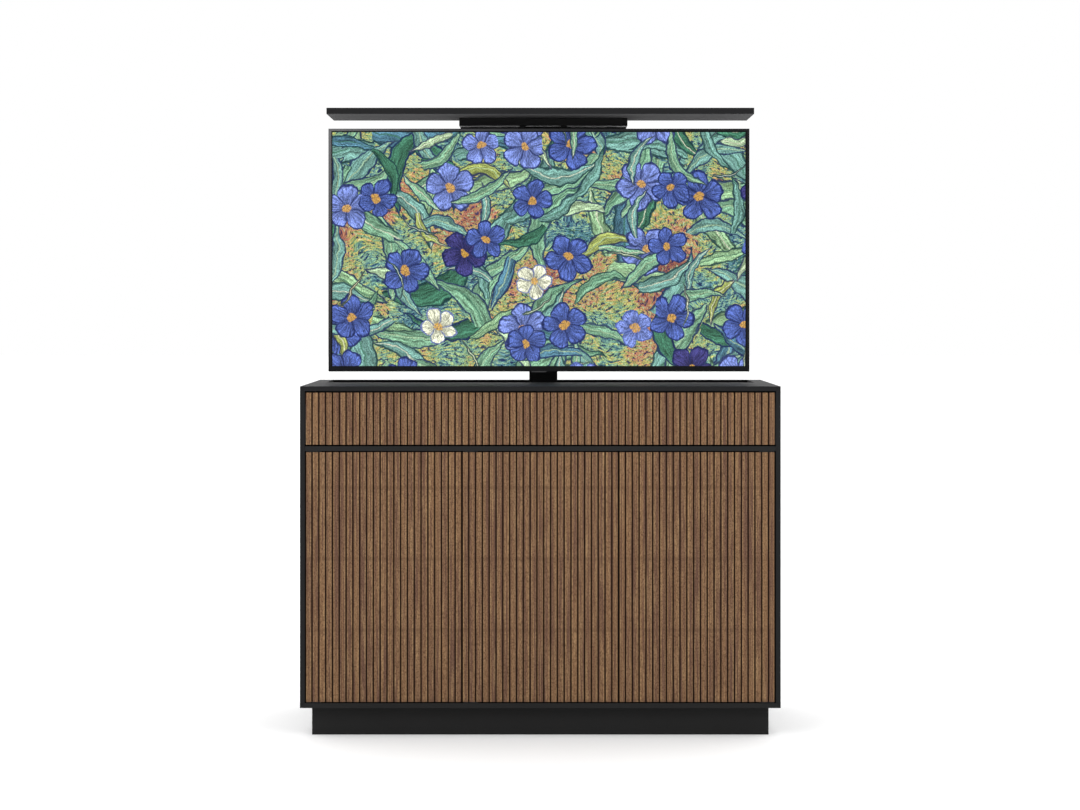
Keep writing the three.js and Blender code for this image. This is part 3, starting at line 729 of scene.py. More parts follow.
def build_walnut_grain_and_shading():
    """Fills the grain group: two-tone bands, light streaks, flecks, pores, painted highlights on
    some slat edges, and the dark groove floors with painted shade fading from them onto the slats.
    """
    tree = walnut_grain_and_shading
    place = axes(tree, object_place(tree))
    from_start = sum_of(tree, "SUBTRACT", place["X"], grain_given["Row Start"])
    pitches = sum_of(tree, "DIVIDE", from_start, grain_given["Slat Pitch"])
    own_number = tree.nodes.new("ShaderNodeTexWhiteNoise")
    own_number.noise_dimensions = "1D"
    own = wired(tree, own_number, W=sum_of(tree, "FLOOR", pitches)).outputs["Value"]

    def grain(along_share, slat_shift, scale, detail, roughness):
        """A grain that is drawn out along the slat and differs from slat to slat."""
        shift = sum_of(tree, "MULTIPLY", own, slat_shift)
        vector = tree.nodes.new("ShaderNodeCombineXYZ")
        for label, share in (("X", 1), ("Y", 1), ("Z", along_share)):
            scaled = sum_of(tree, "MULTIPLY_ADD", place[label], share, shift)
            fed(tree, vector.inputs[label], scaled)
        return noise(tree, vector.outputs["Vector"], scale, detail, roughness)

    def off_half(value):
        """How far a value's fraction is from a half."""
        fraction = sum_of(tree, "FRACT", value)
        return sum_of(tree, "ABSOLUTE", sum_of(tree, "SUBTRACT", fraction, 0.5))

    def product(first, *others):
        """Values multiplied together."""
        for other in others:
            first = sum_of(tree, "MULTIPLY", first, other)
        return first

    streaks = grain(*streak_grain)
    rows = sum_of(tree, "DIVIDE", place["Z"], grain_given["Row Height"])
    marks = product(
        stepped(tree, off_half(rows), *mark_height_range),
        stepped(tree, streaks, *mark_streak_range),
        grain_given["Row Marks"],
    )
    speckle = stepped(tree, grain(*fleck_grain), *fleck_range)

    to_edge = sum_of(tree, "SUBTRACT", 0.5, off_half(pitches))
    distance = product(to_edge, grain_given["Slat Pitch"])
    fronts = sum_of(tree, "DIVIDE", pitches, grain_given["Front Slats"])
    off_seam = off_half(sum_of(tree, "ADD", fronts, 0.5))
    slats_off = product(off_seam, grain_given["Front Slats"])
    at_seam = sum_of(tree, "LESS_THAN", slats_off, seam_reach)
    seam_shade = product(at_seam, grain_given["Seam Shade"])
    groove_half = sum_of(tree, "MULTIPLY_ADD", grain_given["Groove Width"], 0.5, seam_shade)
    past_edge = sum_of(tree, "SUBTRACT", distance, groove_half)

    # Painted highlights: a thin pale line along the left or right edge of some slats.
    left_half = sum_of(tree, "LESS_THAN", sum_of(tree, "FRACT", pitches), 0.5)
    left_lit = product(left_half, sum_of(tree, "LESS_THAN", own, left_highlight_below))
    right_picked = sum_of(tree, "GREATER_THAN", own, right_highlight_above)
    right_lit = sum_of(tree, "GREATER_THAN", right_picked, left_half)
    edge_lit = product(
        sum_of(tree, "MAXIMUM", left_lit, right_lit),
        stepped(tree, past_edge, *highlight_start_range),
        stepped(tree, past_edge, *highlight_end_range),
        stepped(tree, streaks, *highlight_streak_range),
    )
    # The groove mask is full over the groove floor, a dark bare core, and fades across the slat's
    # edge: painted shade there.
    groove_shade_share = sum_of(tree, "DIVIDE", past_edge, grain_given["Edge Fade"])
    wired(
        tree,
        grain_result,
        Bands=stepped(tree, grain(*band_grain), *band_range),
        Streaks=sum_of(tree, "MAXIMUM", stepped(tree, streaks, *streak_range), edge_lit),
        Flecks=sum_of(tree, "MAXIMUM", speckle, marks),
        Pores=stepped(tree, grain(*pore_grain), *pore_range),
        Groove=stepped(tree, groove_shade_share, 0, 1, 1, 0),
    )


build_walnut_grain_and_shading()

# The pale colour serves both the grain's light streaks and the painted edge highlights. The groove
# colour is the dark core in the groove floor and painted shade where it fades onto the slats.
walnut_brown = screen_colour(111, 82, 67)
walnut_tan = screen_colour(143, 109, 78)
walnut_streak_and_highlight = screen_colour(178, 144, 103)
walnut_dark = screen_colour(68, 46, 35)
groove_core_and_shade = screen_colour(34, 18, 5)
edge_shade_reach = 1.45 * mm
row_height = 197 * mm
grain_height = 0.1 * mm
oil_gloss = 0.5
fleck_gloss = 0.12
oil_specular = 0.1
grain_sink = -0.5


def walnut(name, seam_shade, row_marks):
    """Oiled walnut veneer over the slats, with dark groove floors, painted shade fading onto the
    slat edges and widest at the seams between doors, and painted highlights on some slat edges.
    """
    material = new_material(name)
    tree = material.node_tree
    grain = placed_group(
        tree,
        walnut_grain_and_shading,
        Row_Start=flap_low.x - groove_width / 2,
        Slat_Pitch=slat_pitch,
        Groove_Width=groove_width,
        Edge_Fade=edge_shade_reach,
        Front_Slats=slats_in_door,
        Seam_Shade=seam_shade,
        Row_Marks=row_marks,
        Row_Height=row_height,
    )
    tone = mixed(tree, grain["Bands"], walnut_brown, walnut_tan)
    for label, colour, weight in (
        ("Streaks", walnut_streak_and_highlight, 0.9),
        ("Flecks", walnut_dark, 0.76),
        ("Pores", walnut_dark, 0.6),
        ("Groove", groove_core_and_shade, 0.96),
    ):
        tone = mixed(tree, sum_of(tree, "MULTIPLY", grain[label], weight), tone, colour)
    relief = sum_of(tree, "ADD", grain["Flecks"], grain["Pores"])
    return shaded(
        material,
        Base_Color=tone,
        Roughness=sum_of(tree, "MULTIPLY_ADD", grain["Flecks"], fleck_gloss, oil_gloss),
        Normal=raised(tree, sum_of(tree, "MULTIPLY", relief, grain_sink), grain_height),
        Specular_IOR_Level=oil_specular,
    )


door_seam_shade = 0.9 * mm
door_row_marks = 0.75
door_walnut = walnut("door_walnut", door_seam_shade, door_row_marks)
flap_walnut = walnut("flap_walnut", 0, 0)

door_names = ("left_door", "centre_door", "right_door")
for door in door_names:
    eased_node(f"{door}_slats", "panel", slat_ease, door_walnut)
eased_node("flap_slats", "panel", slat_ease, flap_walnut)


# Behind each slat panel is a core of the same dyed fibreboard, darkened as painted shade. A steel
# disc is let into its back where the push latch touches it.


def middle(node):
    """The middle of a CAD node's box."""
    low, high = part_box(node)
    return [(near + far) / 2 for near, far in zip(low, high)]


disc_radius = 6 * mm
disc_margin = 1.5 * mm
disc_rise = 0.15 * mm
disc_depth = 1 * mm
disc_ease = 0.1 * mm
fine_sides = 48
front_names = (*door_names, "flap")
for front in front_names:
    node = f"{front}_core"
    core_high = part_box(node)[1]
    eased_node(node, "board", panel_ease, dyed_and_shaded_board)
    disc_x, _, plunger_z = middle(f"{front}_latch_plunger")
    disc_z = min(plunger_z, core_high.z - disc_radius - disc_margin)
    disc_back = core_high.y + disc_rise
    disc = bmesh.new()
    disc_front = (disc_x, disc_back - disc_depth, disc_z)
    rod(disc, disc_front, (disc_x, disc_back, disc_z), disc_radius, fine_sides)
    finished(f"{front}_latch_disc", eased(disc, disc_ease), black_zinc, body_of(node))


# Each door turns on a pin at its top and its bottom. The pins stand on black zinc-plated plates,
# screwed to the ends of the core with two screws each.

plate_ease = 0.3 * mm
plate_rise = 2.3 * mm
plate_screw_radius = 3.2 * mm
plate_screw_rise = 0.5 * mm
plate_screw_places = (17 * mm, 33 * mm)
for door in door_names:
    core = f"{door}_core"
    slats_low, slats_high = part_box(f"{door}_slats")
    core_y = middle(core)[1]
    plate_screws = bmesh.new()
    for end, z, up in (
        ("bottom", slats_low.z - plate_rise, -1),
        ("top", slats_high.z + plate_rise, 1),
    ):
        node = f"{door}_{end}_pivot"
        pivot_low, pivot_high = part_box(node)
        eased_node(node, "plate", plate_ease, black_zinc)
        hinge_left = pivot_low.x - slats_low.x < slats_high.x - pivot_high.x
        for inset in plate_screw_places:
            x = slats_low.x + inset if hinge_left else slats_high.x - inset
            place = (x, core_y, z)
            screw(plate_screws, place, (0, 0, up), plate_screw_radius, plate_screw_rise)
    finished(f"{door}_pivot_screws", plate_screws, black_zinc, body_of(core))


# The flap turns on pins in its end plates. A rod stay on each side runs from the plate's stud
# through a swivel on the side panel, and a nut on its end stops the flap when it is level.

stay_ease = 0.5 * mm
flap_plate_rise = 1.9 * mm
flap_screw_radius = 2.8 * mm
flap_screw_rise = 0.35 * mm
flap_screw_shares = (0.12, 0.42, 0.7)
nut_radius = 4.4 * mm
nut_length = 4 * mm
nut_inset = 0.8 * mm
nut_sides = 6
rod_end_corners = 24
core_low, core_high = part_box("flap_core")
core_y = middle("flap_core")[1]
for side, away in (("left", -1), ("right", 1)):
    stay = f"{side}_stay_rod"
    swivel_node = f"{side}_stay_swivel"
    eased_node(f"{side}_flap_pivot_plate", "steel", plate_ease, black_zinc)
    eased_node(stay, "steel", stay_ease, zinc_plate)
    eased_node(swivel_node, "block", stay_ease, moulded_black)

    swivel = Vector((middle(stay)[0], *middle(swivel_node)[1:]))
    corners = sorted(
        (corner.co.copy() for corner in cad_nodes[stay].data.vertices),
        key=lambda point: (point - swivel).length,
    )
    rod_end = sum(corners[-rod_end_corners:], Vector()) / rod_end_corners
    along = (rod_end - swivel).normalized()
    nut = bmesh.new()
    nut_end = rod_end - along * nut_inset
    rod(nut, rod_end - along * (nut_inset + nut_length), nut_end, nut_radius, nut_sides)
    finished(f"{side}_stay_nut", eased(nut, plate_ease), zinc_plate, body_of(stay))

    outer_x = core_low.x - flap_plate_rise if away < 0 else core_high.x + flap_plate_rise
    reach_z = core_high.z - core_low.z
    places = [(outer_x, core_y, core_low.z + share * reach_z) for share in flap_screw_shares]
    plate_screws = screws(places, (away, 0, 0), flap_screw_radius, flap_screw_rise)
    finished(f"{side}_flap_plate_screws", plate_screws, black_zinc, "flap")


# Push latches: a moulded housing screwed under the board above each front, and a sprung plunger.
# A push on the closed front lets it spring open.

latch_ease = 1 * mm
latch_screw_radius = 2.6 * mm
latch_screw_rise = 0.8 * mm
latch_screw_shares = (0.25, 0.85)
fine_segments = 3
plunger_black = metal("plunger_black", (0.03, 0.03, 0.032), 0.5, (1, 0.2, 1), 700, 0.6)
for front in front_names:
    housing = f"{front}_latch_housing"
    eased_node(housing, "shell", latch_ease, moulded_black, fine_segments)
    eased_node(f"{front}_latch_plunger", "pin", stay_ease, plunger_black)
    low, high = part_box(housing)
    x = middle(housing)[0]
    places = [(x, low.y + share * (high.y - low.y), low.z) for share in latch_screw_shares]
    latch_screws = screws(places, (0, 0, -1), latch_screw_radius, latch_screw_rise)
    finished(f"{front}_latch_screws", latch_screws, black_zinc, "carcass")


# The lift column: three square steel tubes, powder coated black, which slide in nylon collars. The
# outer one is welded to a foot that four bolts hold to the carcass's bottom.

# The powder's roughness, texture scale, texture height and specular level.
powder_finish = (0.5, 700, 0.08 * mm, 0.25)
powder_coat = coated("powder_coat", (13, 13, 14), (17, 17, 18), *powder_finish)
# The tubes' coat is painted paler than the bracket's: painted light against the shade under the
# television.
painted_light_column_coat = coated("painted_light_column_coat", (38, 38, 39), (44, 44, 45), *powder_finish)
nylon = coated("nylon", (26, 26, 27), (31, 31, 32), 0.4, 1200, 0.02 * mm)

tube_ease = 1.4 * mm
collar_ease = 0.8 * mm
for node in ("column_outer_tube", "column_middle_tube", "column_inner_tube"):
    eased_node(node, "steel", tube_ease, painted_light_column_coat, fine_segments)
for node in ("outer_glide_collar", "middle_glide_collar"):
    eased_node(node, "nylon", collar_ease, nylon, fine_segments)

foot_bolt_radius = 6.5 * mm
foot_bolt_rise = 6 * mm
foot_bolt_inset = 14 * mm
foot_bolt_rear = 12 * mm
foot_bolt_pitch = 40 * mm
foot_thickness = 8 * mm
foot_low, foot_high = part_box("column_outer_tube")
places = [
    (x, foot_high.y - foot_bolt_rear - row, foot_low.z + foot_thickness)
    for x in (foot_low.x + foot_bolt_inset, foot_high.x - foot_bolt_inset)
    for row in (0, foot_bolt_pitch)
]
foot_bolts = screws(places, (0, 0, 1), foot_bolt_radius, foot_bolt_rise, "hex")
finished("column_foot_bolts", foot_bolts, black_zinc, "carcass")


# The drive spindle is a bright steel screw with five starts of a rounded rolled thread. It turns in
# the gearbox at its foot and in the nut on the middle tube.

thread_starts = 5
thread_lead = 20 * mm
thread_depth = 1.2 * mm
thread_sides = 20
thread_step = 1.6 * mm
spindle_low, spindle_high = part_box("drive_spindle")
spindle_x, spindle_y, _ = middle("drive_spindle")
spindle_radius = (spindle_high.x - spindle_low.x) / 2
spindle_length = spindle_high.z - spindle_low.z
thread_loops = round(spindle_length / thread_step)
thread = bmesh.new()
loops = []
for index in range(thread_loops + 1):
    rise = spindle_length * index / thread_loops
    loop = []
    for side in range(thread_sides):
        angle = math.tau * side / thread_sides
        wave = math.cos(thread_starts * (angle - math.tau * rise / thread_lead))
        reach = spindle_radius - thread_depth * (1 - wave) / 2
        x = spindle_x + reach * math.cos(angle)
        y = spindle_y + reach * math.sin(angle)
        loop.append(thread.verts.new((x, y, spindle_low.z + rise)))
    loops.append(loop)
skinned(thread, loops)
dressed("drive_spindle", "screw", thread, zinc_plate)


# The motor lies across the foot of the column and drives the spindle through a cast gearbox. Its
# case has cooling ribs and a plastic end cap, and the gearbox's lid is held by four screws.

cast_aluminium = shaded(
    coated("cast_aluminium", (120, 122, 125), (140, 142, 145), 0.5, 900, 0.1 * mm), Metallic=0.85
)

motor_ease = 1.5 * mm
motor_radius = 22 * mm
gearbox_width = 76 * mm
rib_count = 11
rib_rise = 1.6 * mm
rib_width = 2.4 * mm
rib_pitch = 6.5 * mm
rib_start = 12 * mm
cap_length = 14 * mm
cap_rise = 1 * mm
motor_screw_radius = 3.4 * mm
motor_screw_rise = 2 * mm
motor_screw_inset = 8 * mm
motor_low, motor_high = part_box("lift_motor")
_, motor_y, motor_z = middle("lift_motor")
gearbox_left = motor_high.x - gearbox_width
motor_body = body_of("lift_motor")


def motor_ring(mesh, x0, x1, rise):
    """Adds a round about the motor case, from one x to another."""
    rod(mesh, (x0, motor_y, motor_z), (x1, motor_y, motor_z), motor_radius + rise, fine_sides)


eased_node("lift_motor", "case", motor_ease, cast_aluminium)
ribs, cap = bmesh.new(), bmesh.new()
for rib in range(rib_count):
    x = gearbox_left - rib_start - rib * rib_pitch
    motor_ring(ribs, x, x - rib_width, rib_rise)
finished("lift_motor_ribs", eased(ribs, plate_ease), cast_aluminium, motor_body)
cap_left = motor_low.x - cap_rise
motor_ring(cap, cap_left, cap_left + cap_length, cap_rise)
cap = eased(cap, motor_ease, fine_segments)
finished("lift_motor_end_cap", cap, moulded_black, motor_body)
places = [
    (x, y, motor_high.z)
    for x in (gearbox_left + motor_screw_inset, motor_high.x - motor_screw_inset)
    for y in (motor_low.y + motor_screw_inset, motor_high.y - motor_screw_inset)
]
gearbox_screws = screws(places, (0, 0, 1), motor_screw_radius, motor_screw_rise, "hex")
finished("gearbox_screws", gearbox_screws, zinc_plate, motor_body)


# The control box on the floor of the lift bay is a moulded case with vents, four screws, a mains
# inlet and a low-voltage socket beside it.


def box(mesh, low, high):
    """Adds a block between two corners."""
    low, high = Vector(low), Vector(high)
    size = Matrix.Diagonal((*(high - low), 1))
    bmesh.ops.create_cube(mesh, size=1, matrix=Matrix.Translation((low + high) / 2) @ size)


def in_a_row(centre, count, pitch):
    """Places in a row about its centre."""
    return [centre + (index - (count - 1) / 2) * pitch for index in range(count)]


control_ease = 2.5 * mm
control_vents = 12
control_vent_pitch = 6 * mm
control_vent_width = 2.2 * mm
control_vent_length = 40 * mm
control_vent_depth = 2 * mm
control_screw_inset = 9 * mm
control_screw_radius = 3 * mm
control_screw_rise = 1.2 * mm
control_low, control_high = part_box("control_box")
control_x, control_y, control_z = middle("control_box")
vents = bmesh.new()
for x in in_a_row(control_x, control_vents, control_vent_pitch):
    y0, y1 = control_y - control_vent_length / 2, control_y + control_vent_length / 2
    z0, z1 = control_high.z - control_vent_depth, control_high.z + control_vent_depth
    box(vents, (x - control_vent_width / 2, y0, z0), (x + control_vent_width / 2, y1, z1))
control_case = carved(eased(node_mesh("control_box"), control_ease, fine_segments), vents)
dressed("control_box", "case", control_case, moulded_black)
places = [
    (x, y, control_high.z)
    for x in (control_low.x + control_screw_inset, control_high.x - control_screw_inset)
    for y in (control_low.y + control_screw_inset, control_high.y - control_screw_inset)
]
control_screws = screws(places, (0, 0, 1), control_screw_radius, control_screw_rise)
finished("control_box_screws", control_screws, black_zinc, "carcass")

inlet_width = 14 * mm
inlet_height = 10 * mm
inlet_wall = 1.5 * mm
inlet_rise = 0.8 * mm
inlet_depth = 5 * mm
inlet_count = 2
inlet_pitch = 60 * mm
inlets, inlet_bores = bmesh.new(), bmesh.new()
for y in in_a_row(control_y, inlet_count, inlet_pitch):
    for mesh, inset, x0, x1 in (
        (inlets, 0, control_low.x - inlet_rise, control_low.x + inlet_rise),
        (inlet_bores, inlet_wall, control_low.x - inlet_depth, control_low.x),
    ):
        half_width, half_height = inlet_width / 2 - inset, inlet_height / 2 - inset
        low = (x0, y - half_width, control_z - half_height)
        box(mesh, low, (x1, y + half_width, control_z + half_height))
inlets = eased(carved(inlets, inlet_bores), plate_ease / 2)
finished("control_box_sockets", inlets, moulded_black, "carcass")


# The head of the lift: a folded steel shell under the lid, with a back plate down behind the
# hangers, and two steel channels that straddle the column. All are powder coated black and bolted.


def upright_block(mesh, x, z, width, height, y0, y1):
    """Adds a block about a point, with its depth along Y."""
    box(mesh, (x - width / 2, y0, z - height / 2), (x + width / 2, y1, z + height / 2))


steel_ease = 0.6 * mm
slot_height = 22 * mm
slot_width = 6.5 * mm
slot_pitch = 50 * mm
slot_count = 9
slot_start = 60 * mm
rails = ("left_hanger_rail", "right_hanger_rail")
eased_node("lid_bracket", "steel", steel_ease, powder_coat)
for node in rails:
    rail_low, rail_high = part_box(node)
    slot_ends = (rail_low.y - cut_overrun, rail_high.y + cut_overrun)
    slots = bmesh.new()
    for index in range(slot_count):
        z = rail_low.z + slot_start + index * slot_pitch
        upright_block(slots, middle(node)[0], z, slot_width, slot_height, *slot_ends)
    rail = carved(eased(node_mesh(node), steel_ease), slots)
    dressed(node, "steel", rail, powder_coat)

# A thin pale strip across the bracket, beside and between the hangers: its near-white grey is a
# painted highlight, a light line along the shell's lower edge.
highlight_strip_gap = 0.1 * mm
highlight_strip_thickness = 1.8 * mm
highlight_strip_inset = 2 * mm
highlight_strip_grey = coated("highlight_strip_grey", (205, 205, 206), (222, 222, 223), 0.9, 900, 0.3 * mm, 0.1)
bracket_low, bracket_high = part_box("lid_bracket")
(left_low, left_high), (right_low, right_high) = (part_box(node) for node in rails)
highlight_strip_top = left_high.z + highlight_strip_gap
highlight_strip = bmesh.new()
for x0, x1 in (
    (bracket_low.x + highlight_strip_inset, left_low.x - highlight_strip_gap),
    (left_high.x + highlight_strip_gap, right_low.x - highlight_strip_gap),
    (right_high.x + highlight_strip_gap, bracket_high.x - highlight_strip_inset),
):
    box(highlight_strip, (x0, left_low.y, highlight_strip_top - highlight_strip_thickness), (x1, left_high.y, highlight_strip_top))
finished("lid_bracket_highlight_strip", highlight_strip, highlight_strip_grey, body_of("lid_bracket"))

bolt_radius = 6 * mm
bolt_rise = 4.5 * mm
bolt_drops = (22 * mm, 62 * mm, 102 * mm)
back_plate_thickness = 3.3 * mm
places = []
for node in rails:
    rail_low, rail_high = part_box(node)
    rail_x, rail_rear = (rail_low.x + rail_high.x) / 2, rail_high.y + back_plate_thickness
    places += [(rail_x, rail_rear, rail_high.z - drop) for drop in bolt_drops]
head_bolts = screws(places, (0, 1, 0), bolt_radius, bolt_rise, "hex")
finished("head_bolts", head_bolts, zinc_plate, body_of("lid_bracket"))


# The television hangs on a steel plate with two upright arms. The plate is pierced to save weight,
# slotted for the hangers, and bolted to the set in the usual square pattern.

mount_low, mount_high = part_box("tv_mount_plate")
mount_x, _, mount_z = middle("tv_mount_plate")
window_width = 90 * mm
window_height = 110 * mm
window_corner = 14 * mm
corner_steps = 6
window_across = 110 * mm
window_up = 105 * mm
mount_slot_length = 26 * mm
mount_slot_width = 7 * mm
mount_slot_corner = mount_slot_width / 2.01
mount_slot_count = 11
mount_slot_pitch = 38 * mm
mount_plate_cut = 5 * mm
arm_spacing = 400 * mm
arm_hole_radius = 3.5 * mm
arm_hole_pitch = 40 * mm
arm_hole_count = 9
pattern_half_height = 140 * mm
arm_web = 3 * mm


def window(mesh, centre_x, centre_z, width, height, corner, y0, y1):
    """Adds an upright block with rounded corners, with its depth along Y."""
    points = []
    for quarter, (across, up) in enumerate(((1, 1), (-1, 1), (-1, -1), (1, -1))):
        for step in range(corner_steps + 1):
            angle = (quarter + step / corner_steps) * math.pi / 2
            x = centre_x + across * (width / 2 - corner) + corner * math.cos(angle)
            z = centre_z + up * (height / 2 - corner) + corner * math.sin(angle)
            points.append((x, z))
    skinned(mesh, [[mesh.verts.new((x, y, z)) for x, z in points] for y in (y0, y1)])


plate_cut = (mount_high.y - mount_plate_cut, mount_high.y + cut_overrun)
arms = (mount_x - arm_spacing / 2, mount_x + arm_spacing / 2)
piercings = bmesh.new()
for x in (mount_x - window_across, mount_x + window_across):
    for z in (mount_z - window_up, mount_z + window_up):
        window(piercings, x, z, window_width, window_height, window_corner, *plate_cut)
mount_slot = (mount_slot_length, mount_slot_width, mount_slot_corner)
for z in in_a_row(mount_z, mount_slot_count, mount_slot_pitch):
    window(piercings, mount_x, z, *mount_slot, *plate_cut)
for x in arms:
    for z in in_a_row(mount_z, arm_hole_count, arm_hole_pitch):
        front = (x, mount_low.y - cut_overrun, z)
        rod(piercings, front, (x, mount_low.y + mount_plate_cut, z), arm_hole_radius)
mount_plate = carved(eased(node_mesh("tv_mount_plate"), steel_ease), piercings)
dressed("tv_mount_plate", "steel", mount_plate, powder_coat)

bolt_heights = (mount_z - pattern_half_height, mount_z + pattern_half_height)
places = [(x, mount_low.y + arm_web, z) for x in arms for z in bolt_heights]
mount_bolts = screws(places, (0, 1, 0), bolt_radius, bolt_rise, "hex")
finished("mount_bolts", mount_bolts, zinc_plate, body_of("tv_mount_plate"))


# The television's frame is dark anodised aluminium, folded round the glass. A painted reflection
# makes its colour paler towards the upper left corner. A small plain sensor pod sits under its
# lower edge.


def given_to(material, label):
    """What feeds an input of a material's Principled shader so far."""
    return shader_of(material).inputs[label].links[0].from_socket


# The frame's colour fades to a pale grey towards its upper left corner: a painted reflection.
painted_reflection_grey = (0.18, 0.18, 0.185)
reflection_left_power = 3
reflection_up_power = 1.3
bezel_ease = 0.7 * mm
tv_low, tv_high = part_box("tv_bezel")
anodised = metal("dark_anodised", (0.014, 0.0145, 0.016), 0.34, (0.1, 1, 1), 1200, 0.7)
anodised_tree = anodised.node_tree
# Painted reflection: the share of pale grey grows towards the left and towards the top of the
# frame.
frame_place = axes(anodised_tree, object_place(anodised_tree))
reflection_toward_left = stepped(anodised_tree, frame_place["X"], tv_low.x, tv_high.x, 1, 0)
reflection_toward_top = stepped(anodised_tree, frame_place["Z"], tv_low.z, tv_high.z)
reflection_toward_left = sum_of(anodised_tree, "POWER", reflection_toward_left, reflection_left_power)
reflection_toward_top = sum_of(anodised_tree, "POWER", reflection_toward_top, reflection_up_power)
reflection_share = sum_of(anodised_tree, "MULTIPLY", reflection_toward_left, reflection_toward_top)
anodised_dark = given_to(anodised, "Base Color")
shaded(anodised, Base_Color=mixed(anodised_tree, reflection_share, anodised_dark, painted_reflection_grey))
tv_body = body_of("tv_bezel")
eased_node("tv_bezel", "frame", bezel_ease, anodised)

pod_width = 42 * mm
pod_drop = 2.4 * mm
pod_rise = 1.2 * mm
pod_depth = 12 * mm
pod_proud = 0.8 * mm
pod_ease = 0.7 * mm
pod_plastic = coated("pod_plastic", (64, 64, 65), (70, 70, 71), 0.4, 1800, 0.02 * mm)
pod_x = middle("tv_bezel")[0]
pod = bmesh.new()
box(
    pod,
    (pod_x - pod_width / 2, tv_low.y - pod_proud, tv_low.z - pod_drop),
    (pod_x + pod_width / 2, tv_low.y + pod_depth, tv_low.z + pod_rise),
)
pod = eased(pod, pod_ease, fine_segments)
finished("tv_sensor_pod", pod, pod_plastic, tv_body)


# The screen is glossy glass with a thin black margin. It shows a made-up picture: leaves at all
# angles and round blossoms with five petals, in short thick strokes, over clay and ochre ground.


def joined(tree, x, y, z):
    """A vector made of three parts."""
    return wired(tree, tree.nodes.new("ShaderNodeCombineXYZ"), X=x, Y=y, Z=z).outputs["Vector"]


def ramp(tree, value, stops, kind="LINEAR"):
    """The colour at a value among (share, colour) stops."""
    node = wired(tree, tree.nodes.new("ShaderNodeValToRGB"), Fac=value)
    node.color_ramp.interpolation = kind
    elements = node.color_ramp.elements
    while len(elements) < len(stops):
        elements.new(1)
    for element, (share, colour) in zip(elements, stops):
        element.position = share
        element.color = (*colour, 1)
    return node.outputs["Color"]


def pushed_about(tree, place, scale, reach):
    """A place pushed about by noise, so that outlines waver as if drawn by hand."""
    field = wired(tree, tree.nodes.new("ShaderNodeTexNoise"), Vector=place, Scale=scale)
    return vector_of(tree, "MULTIPLY_ADD", field.outputs["Color"], (reach, reach, 0), place)


def cell_parts(tree, given):
    """A layer's cells: each one's own number, a point's place in it, and whether it is filled."""
    scaled = vector_of(tree, "SCALE", given["Place"], Scale=given["Scale"])
    moved = vector_of(tree, "ADD", scaled, given["Shift"])
    cells = tree.nodes.new("ShaderNodeTexVoronoi")
    cells.voronoi_dimensions = "2D"
    wired(tree, cells, Vector=moved, Scale=1, Randomness=given["Scatter"])
    own = tree.nodes.new("ShaderNodeSeparateColor")
    wired(tree, own, Color=cells.outputs["Color"])
    local = vector_of(tree, "SUBTRACT", moved, cells.outputs["Position"])
    turned = tree.nodes.new("ShaderNodeVectorRotate")
    turned.rotation_type = "Z_AXIS"
    wired(tree, turned, Vector=local, Angle=sum_of(tree, "MULTIPLY", own.outputs["Red"], math.tau))
    place = axes(tree, turned.outputs["Vector"])
    filled = sum_of(tree, "LESS_THAN", own.outputs["Blue"], given["Share"])
    return own.outputs["Green"], place["X"], place["Y"], filled


# The noises of this section are given by scale, detail and roughness.
stroke_shares = (5, 44, 40)
stroke_noise = (1, 3, 0.7)


def stroke_field(tree, *place):
    """Short brush strokes that follow a direction, given a place along it, across it and a pick."""
    scaled = [sum_of(tree, "MULTIPLY", part, share) for part, share in zip(place, stroke_shares)]
    return noise(tree, joined(tree, *scaled), *stroke_noise)


layer_inputs = {
    "Place": None,
    "Shift": None,
    "Scale": 8,
    "Scatter": 0.8,
    "Share": 1,
    "Reach": 0.45,
    "Breadth": 0.12,
}
layer_outputs = ("Mask", "Line", "Heart", "Shade", "Stroke", "Pick")

leaf_bend = 2.2
leaf_edge = (0, 0.006)
leaf_line = (0.02, 0.032, 1, 0)
leaf_midrib = (0.002, 0.012, 1, 0)
leaf_shade = (-0.02, 0.02, 0.8, 1.15)


def leaf_layer_group():
    """One leaf in each cell: pointed at both ends, bowed, with a midrib and a dark outline."""
    tree, given, result = named_group("leaf_layer", layer_inputs, layer_outputs)
    pick, x, y, filled = cell_parts(tree, given)
    bend = sum_of(tree, "MULTIPLY_ADD", pick, leaf_bend, -leaf_bend / 2)
    bow = sum_of(tree, "MULTIPLY", sum_of(tree, "MULTIPLY", x, x), bend)
    bowed = sum_of(tree, "ADD", y, bow)
    along = sum_of(tree, "DIVIDE", x, given["Reach"])
    squared = sum_of(tree, "MULTIPLY", along, along)
    taper = sum_of(tree, "SUBTRACT", 1, squared, clamp=True)
    breadth = sum_of(tree, "MULTIPLY", taper, given["Breadth"])
    off_middle = sum_of(tree, "ABSOLUTE", bowed)
    depth = sum_of(tree, "SUBTRACT", breadth, off_middle)
    wired(
        tree,
        result,
        Mask=sum_of(tree, "MULTIPLY", stepped(tree, depth, *leaf_edge), filled),
        Line=stepped(tree, depth, *leaf_line),
        Heart=stepped(tree, off_middle, *leaf_midrib),
        Shade=stepped(tree, bowed, *leaf_shade),
        Stroke=stroke_field(tree, x, bowed, pick),
        Pick=pick,
    )
    return tree


half_petals = 2.5
petal_round = 0.5
petal_reach = 0.42
petal_edge = (0, 0.008)
petal_line = (0.03, 0.046, 1, 0)
petal_crease = (0.05, 0.35, 0.9, 0)
petal_shade = (0.25, 0.8, 0.62, 1.25)
petal_stroke_turn = 0.22
heart_edge = (0.8, 1, 1, 0)


